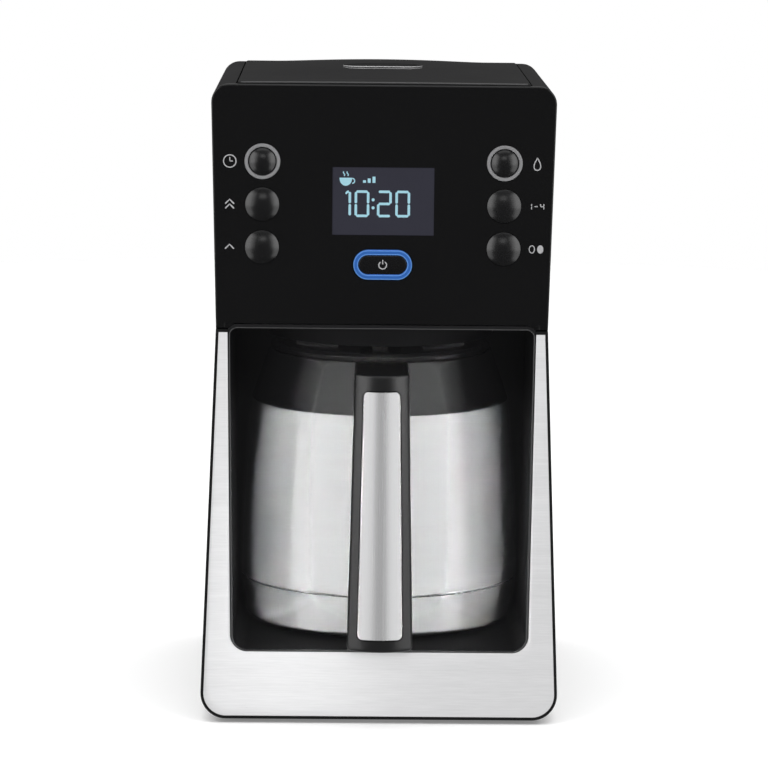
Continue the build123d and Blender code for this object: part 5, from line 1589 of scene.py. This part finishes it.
class COFFEE_OT_buttons(bpy.types.Operator):
    """Build the domed buttons, the grey rings and the lit ring with painted highlights along its edges"""

    bl_idname = "coffee.buttons"
    bl_label = "Buttons"

    def execute(self, context):
        sizes = settings(context, "panel")
        self.round_buttons(sizes)
        self.long_button(sizes)
        return {"FINISHED"}

    def round_buttons(self, sizes):
        """Six domed caps, two of them in grey rings."""
        rings = []
        for name, ringed in ROUND_BUTTONS.items():
            place = middle(name)
            radius = sizes.ringed_radius if ringed else sizes.cap_radius
            cap = cap_shell(sizes, radius, place.x, place.z)
            add_piece(name + "_cap", [cap], name, "cap", [name], crease=50)
            if ringed:
                ring = sizes.ring_radius, sizes.ring_width, sizes.ring_proud
                rings.append(band_shell(0.0, *ring, place.x, place.z, 48))
        add_piece(
            "button_rings", rings, "machine", "ring", ["indicator_rings"]
        )

    def long_button(self, sizes):
        """The long cap in its lit ring, which has a paler line along each edge: painted highlights on the
        ring's edges.
        """
        place, corner = middle("brew_ring"), high("brew_ring")
        radius = corner.z - place.z
        straight = 2 * (corner.x - place.x - radius)
        radius -= sizes.light_gap
        width, pale, step, gap = sizes.light_width, 0.55 * MM, 0.06 * MM, 0.3 * MM
        band = band_shell(straight, radius, width, sizes.light_proud, place.x, place.z)
        add_piece("light_ring", [band], "machine", "light", ["brew_ring"])
        # Paler lines on both edges of the ring: painted highlights.
        raised = sizes.light_proud + step
        lines = [
            band_shell(straight, outer, pale, raised, place.x, place.z)
            for outer in (radius, radius - width + pale)
        ]
        add_piece("light_lines", lines, "machine", "light_edge_highlight")
        cap = long_cap_shell(sizes, straight, radius - width - gap, place.x, place.z)
        add_piece(
            "brew_button_cap", [cap], "brew_button", "cap",
            ["brew_button"], crease=50,
        )


class COFFEE_OT_marks(bpy.types.Operator):
    """Build the lit display marks and the printed signs of the buttons"""

    bl_idname = "coffee.marks"
    bl_label = "Marks"

    def execute(self, context):
        sizes = settings(context, "panel")
        lens, ring = middle("display_lens"), middle("brew_ring")
        self.display((lens.x, lens.z, PANEL_Y - low("display_lens").y, sizes.print_height))
        self.signs(sizes)
        pen = (ring.x, ring.z, sizes.long_cap, sizes.print_height)
        ink = 0.62
        power = [
            stroke(arc_path(2.1, 125, 415), ink, pen),
            line((0, 0.5), (0, 2.9), ink, pen),
        ]
        add_piece("brew_sign", power, "brew_button", "ink", crease=50)
        return {"FINISHED"}

    def display(self, pen):
        """Time in seven-segment digits, a cup and three level bars, in millimetres."""
        wide, tall, ink, time_z = 6.7, 13.3, 1.4, -1.3
        marks = []
        for shape, at in (("1", -18.3), ("0", -11.65), ("2", 0.6), ("0", 10.65)):
            shift = at - wide / 2 if shape == "1" else at
            marks += digit(shape, wide, tall, ink, (shift, time_z), pen)
        flag = [(-20.6, 4.1), (-19.8, 5.0), (-18.9, 5.5)]
        marks.append(stroke(flag, (0.8, 1.2, 1.3), pen))
        colon_x, dot = -5.55, 0.85
        marks += [spot(dot, pen, (colon_x, up)) for up in (0.9, -3.5)]
        cup_x, bowl_z, brim_z = -20.6, 12.4, 12.9
        bowl = arc_path(3.4, 180, 360, (cup_x, bowl_z), 24, 1.15)
        brim = np.stack([bowl[:, 0], np.full(len(bowl), brim_z)], 1)
        marks.append(ribbon(brim, bowl, pen))
        marks.append(stroke(arc_path(1.35, 90, -90, (cup_x + 3.5, 11.2), 18), 0.6, pen))
        steam_z, steam_rise, sway = 13.9, 2.4, 0.4
        wave = np.linspace(0, 1, 16)
        for shift in (cup_x - 1, cup_x + 1):
            steam = np.stack([shift + sway * np.sin(wave * 6.0), steam_z + steam_rise * wave], 1)
            marks.append(stroke(steam, 0.55, pen))
        bar_x, bar_z, bar_step, bar_width = -10.4, 10.2, 2.6, 1.6
        for step, rise in enumerate((1.4, 2.4, 3.4)):
            left = bar_x + bar_step * step
            marks.append(line((left, bar_z), (left, bar_z + rise), bar_width, pen, 3))
        add_piece("display_marks", marks, "machine", "digits", crease=50)

    def signs(self, sizes):
        """A clock, chevrons, a drop, two numbers and two beans beside the round buttons."""

        def beside(button, side):
            """A pen for the sign of a button on the left (-1) or right (1)."""
            return (side * 84 * MM, middle(button).z, 0, sizes.print_height)

        fine, ink, bold = 0.55, 0.6, 0.7
        pen = beside("program_button", -1)
        signs = [
            stroke(arc_path(3.4, 0, 360)[:-1], ink, pen, True),
            line((0, -0.25), (0, 2.2), fine, pen),
            line((-0.2, 0), (1.7, 0), fine, pen),
        ]
        chevron = np.array([(-2.4, -1.0), (-1.2, 0.2), (0, 1.4), (1.2, 0.2), (2.4, -1.0)])
        for button, lift in (("hour_button", 1.2), ("hour_button", -1.4), ("minute_button", 0.0)):
            signs.append(stroke(chevron + (0, lift), bold, beside(button, -1)))
        turn = np.linspace(0, 2 * np.pi, 48, endpoint=False)
        drop = [2.5 * np.sin(turn) * np.sin(turn / 2) ** 1.3, 3.4 * np.cos(turn) - 0.2]
        signs.append(stroke(np.stack(drop, 1), ink, beside("clean_button", 1), True))
        pen, tall = beside("small_batch_button", 1), 3.2
        signs += digit("1", 1.6, tall, fine, (-3.6, 0), pen)
        signs.append(line((-1.2, 0), (0.6, 0), fine, pen, 3))
        signs += digit("4", 1.8, tall, fine, (3.0, 0), pen)
        pen, bean_x = beside("strength_button", 1), 2.3
        signs.append(spot(1.7, pen, (bean_x, 0), 1.35))
        hollow = arc_path(1.45, 0, 360, (-bean_x, 0), 40, 1.38)[:-1]
        signs.append(stroke(hollow, 0.5, pen, True))
        add_piece("panel_signs", signs, "machine", "ink", crease=50)


CARAFE_STEEL = ("carafe_shell", "carafe_cup")
CARAFE_GLOSS = ("collar_with_spout", "carafe_lid")
# Pieces that lamps are linked to; the first group holds the ones that its lamps leave out.
LIT_GROUPS = {
    "all but the carafe": (*CARAFE_STEEL, *CARAFE_GLOSS, "inlay_plate"),
    "steel front": ("steel_front",),
    "inlay": ("inlay_plate",),
    "handle": ("handle_grip",),
    "round buttons": tuple(name + "_cap" for name in ROUND_BUTTONS),
    "carafe's steel": CARAFE_STEEL,
    "collar and carafe lid": CARAFE_GLOSS,
    "inside of the bay": ("bay_liner", "basket_holder", *CARAFE_GLOSS),
    "carafe": (*CARAFE_STEEL, *CARAFE_GLOSS),
}
SOFTBOXES = (
    # Name, its setting, place and size in metres, the group that it lights, the one that shades it
    ("softbox_left", "side_light", (-1.05, -0.75, 0.62), (1.0, 1.3), "all but the carafe", None),
    ("softbox_right", "side_light", (1.05, -0.75, 0.62), (1.0, 1.3), "all but the carafe", None),
    ("softbox_top", "top_light", (0.0, -0.05, 1.45), (1.3, 1.1), "all but the carafe", None),
    ("softbox_front", "front_light", (0.0, -1.9, 1.35), (1.0, 0.6), "all but the carafe", None),
    ("collar_card", "collar_card", (0.0, -1.0, 0.85), (4.4, 0.8), "collar and carafe lid", "carafe"),
    ("front_glow", "front_glow", (-0.06, -0.62, 0.05), (0.1, 0.16), "steel front", "steel front"),
)
CARDS = (
    # Name and setting, first and last angle from the front, the group that it lights, the one that shades it
    ("carafe_card", -52, 52, "carafe's steel", "carafe"),
    ("carafe_side", 52, 78, "carafe's steel", "carafe"),
    ("carafe_rear", 78, 97, "carafe's steel", "carafe"),
    ("carafe_back", 97, 114, "carafe's steel", "carafe"),
    ("carafe_last", 114, 130, "carafe's steel", "carafe"),
    ("front_card", -45, 45, "steel front", None),
    ("handle_card", 40, 86, "handle", "carafe"),
    ("inlay_card", -17, 17, "inlay", None),
    ("inlay_side", 17, 75, "inlay", None),
    ("inlay_rim", 75, 150, "inlay", "handle"),
    ("cap_card", 48, 96, "round buttons", None),
)
# Metres: distance and height of the cards, and the height that the lamps aim at.
CARD_FAR = 6.0
CARD_TALL = 12.0
AIM_Z = 0.18
# Width of the camera's sensor in millimetres.
SENSOR_WIDTH = 36


class COFFEE_OT_stage(bpy.types.Operator):
    """Build the pale floor, the soft studio light and the camera"""

    bl_idname = "coffee.stage"
    bl_label = "Stage"

    def execute(self, context):
        chosen = settings(context, "stage")
        disc = self.floor(context, chosen)
        self.world(context)
        self.lights(context, chosen, disc)
        self.camera(context, chosen)
        context.scene.view_settings.view_transform = "Standard"
        return {"FINISHED"}

    def floor(self, context, chosen):
        """A disc: rings of growing radius, their middle behind the machine."""
        angle = np.linspace(0, 2 * np.pi, 96, endpoint=False)
        tone, glow = 0.8, 0.2
        radius = np.array([0, 0.1, 0.3, 0.7, 1.0])[:, None] * chosen.floor_radius
        x, y = radius * np.cos(angle), chosen.floor_y + radius * np.sin(angle)
        mesh = joined_mesh("pale_floor", [shell(np.stack([x, y, 0 * x], -1))], outward=False)
        material, tree, shader = bare_finish("pale floor")
        shader.inputs["Base Color"].default_value = (tone, tone, tone, 1)
        shader.inputs["Roughness"].default_value = 0.6
        path = tree.nodes.new("ShaderNodeLightPath")
        seen = maths(tree, "MAXIMUM", path.outputs["Is Camera Ray"], path.outputs["Is Glossy Ray"])
        seen = maths(tree, "MAXIMUM", seen, path.outputs["Is Transmission Ray"])
        shader.inputs["Emission Color"].default_value = (1, 1, 1, 1)
        tree.links.new(maths(tree, "MULTIPLY", seen, glow), shader.inputs["Emission Strength"])
        mesh.materials.append(material)
        disc = bpy.data.objects.new("pale_floor", mesh)
        disc.visible_glossy = False
        context.scene.collection.objects.link(disc)
        return disc

    def world(self, context):
        """White for the camera; for light and reflections dim, a little brighter behind the machine."""
        world = bpy.data.worlds.new("studio")
        context.scene.world = world
        world.use_nodes = True
        tree = world.node_tree
        shade = tree.nodes["Background"]
        way = tree.nodes.new("ShaderNodeTexCoord").outputs["Generated"]
        split = tree.nodes.new("ShaderNodeSeparateXYZ")
        tree.links.new(way, split.inputs[0])
        ramp = tree.nodes.new("ShaderNodeMapRange")
        tree.links.new(split.outputs["Y"], ramp.inputs["Value"])
        for label, value in (("From Min", -0.25), ("From Max", 0.5), ("To Min", 0.1), ("To Max", 0.18)):
            ramp.inputs[label].default_value = value
        path = tree.nodes.new("ShaderNodeLightPath")
        strength = maths(tree, "MAXIMUM", path.outputs["Is Camera Ray"], ramp.outputs["Result"])
        shade.inputs["Color"].default_value = (1, 1, 1, 1)
        tree.links.new(strength, shade.inputs["Strength"])

    def lights(self, context, chosen, disc):
        """Softboxes round the machine, and cards that single pieces mirror."""
        groups = {name: self.linked(name, *pieces) for name, pieces in LIT_GROUPS.items()}
        for row in groups["all but the carafe"].collection_objects:
            row.light_linking.link_state = "EXCLUDE"
        for name, setting, place, size, receivers, blockers in SOFTBOXES:
            links = groups[receivers], groups.get(blockers)
            self.card(context, name, getattr(chosen, setting), place, size, *links)
        for name, start, end, receivers, blockers in CARDS:
            links = groups[receivers], groups.get(blockers)
            turn, spread = math.radians(start + end) / 2, math.radians(end - start)
            size = (2 * CARD_FAR * math.tan(spread / 2), CARD_TALL)
            for sign in (-1, 1) if turn else (1,):
                place = (sign * CARD_FAR * math.sin(turn), -CARD_FAR * math.cos(turn), 0.0)
                self.card(context, name, getattr(chosen, name), place, size, *links)
        ground = self.linked("floor alone", disc.name)
        self.sky(context, "floor_light", chosen.floor_sun, 100, 0, ground)
        self.sky(context, "bay_fill", chosen.bay_fill, 170, 85, groups["inside of the bay"], ground)

    def card(self, context, name, radiance, place, size, receivers, blockers):
        """A flat lamp that faces the machine; its power is its radiance times pi times its area."""
        lamp = bpy.data.lights.new(name, "AREA")
        lamp.shape = "RECTANGLE"
        lamp.size, lamp.size_y = size
        lamp.energy = radiance * math.pi * size[0] * size[1]
        aim = Vector((0.0, 0.0, min(place[2], AIM_Z))) - Vector(place)
        holder = self.hang(context, lamp, receivers, blockers)
        holder.location = place
        holder.rotation_euler = aim.to_track_quat("-Z", "Y").to_euler()
        holder.visible_camera = False

    def sky(self, context, name, strength, spread, tilt, receivers, blockers=None):
        """A sun wide enough to be soft, tilted from straight down until it shines from the front."""
        lamp = bpy.data.lights.new(name, "SUN")
        lamp.energy = strength
        lamp.angle = math.radians(spread)
        holder = self.hang(context, lamp, receivers, blockers)
        holder.rotation_euler = (math.radians(tilt), 0, 0)

    def hang(self, context, lamp, receivers, blockers):
        """Places a lamp that lights its receivers alone, and is shaded by its blockers if it has any."""
        holder = bpy.data.objects.new(lamp.name, lamp)
        holder.light_linking.receiver_collection = receivers
        if blockers:
            holder.light_linking.blocker_collection = blockers
            lamp.cycles.use_multiple_importance_sampling = False
        context.scene.collection.objects.link(holder)
        return holder

    def linked(self, name, *pieces):
        """A collection of pieces that a lamp is linked to."""
        group = bpy.data.collections.new(name)
        for piece in pieces:
            group.objects.link(bpy.data.objects[piece])
        return group

    def camera(self, context, chosen):
        """The camera's axes from its pitch, turn and roll."""
        pitch, yaw, roll = chosen.turn
        right = Vector((math.cos(yaw), -math.sin(yaw), 0))
        ahead = Vector(
            (math.sin(yaw) * math.cos(pitch), math.cos(yaw) * math.cos(pitch), -math.sin(pitch))
        )
        up = right.cross(ahead)
        across = right * math.cos(roll) + up * math.sin(roll)
        upward = up * math.cos(roll) - right * math.sin(roll)
        lens = bpy.data.cameras.new("photo_view")
        lens.sensor_width = SENSOR_WIDTH
        lens.lens = chosen.lens
        eye = bpy.data.objects.new("photo_view", lens)
        axes = Matrix((across, upward, -ahead)).transposed().to_4x4()
        axes.translation = Vector(chosen.place)
        eye.matrix_world = axes
        context.scene.collection.objects.link(eye)
        context.scene.camera = eye


OPERATORS = (
    COFFEE_OT_finishes,
    COFFEE_OT_carafe,
    COFFEE_OT_springs,
    COFFEE_OT_handle,
    COFFEE_OT_lid,
    COFFEE_OT_trim,
    COFFEE_OT_buttons,
    COFFEE_OT_marks,
    COFFEE_OT_stage,
)


class COFFEE_PT_tools(bpy.types.Panel):
    """Sidebar panel with the steps of the coffee maker in their order"""

    bl_idname = "COFFEE_PT_tools"
    bl_label = "Drip coffee maker"
    bl_space_type = "VIEW_3D"
    bl_region_type = "UI"
    bl_category = "Coffee maker"

    def draw(self, context):
        for group in GROUPS:
            chosen = settings(context, group)
            self.layout.label(text=group.capitalize())
            for key in chosen.__annotations__:
                self.layout.prop(chosen, key)
        for operator in OPERATORS:
            self.layout.operator(operator.bl_idname)


def register():
    for kind in (*GROUPS.values(), *OPERATORS, COFFEE_PT_tools):
        bpy.utils.register_class(kind)
    for group, kind in GROUPS.items():
        setattr(bpy.types.Scene, "coffee_" + group, PointerProperty(type=kind))


def unregister():
    for group in GROUPS:
        delattr(bpy.types.Scene, "coffee_" + group)
    for kind in (COFFEE_PT_tools, *OPERATORS, *GROUPS.values()):
        bpy.utils.unregister_class(kind)


def main():
    register()
    bpy.ops.coffee.finishes()
    bpy.ops.coffee.carafe()
    bpy.ops.coffee.springs()
    bpy.ops.coffee.handle()
    bpy.ops.coffee.lid()
    bpy.ops.coffee.trim()
    bpy.ops.coffee.buttons()
    bpy.ops.coffee.marks()
    bpy.ops.coffee.stage()


if __name__ == "__main__":
    main()
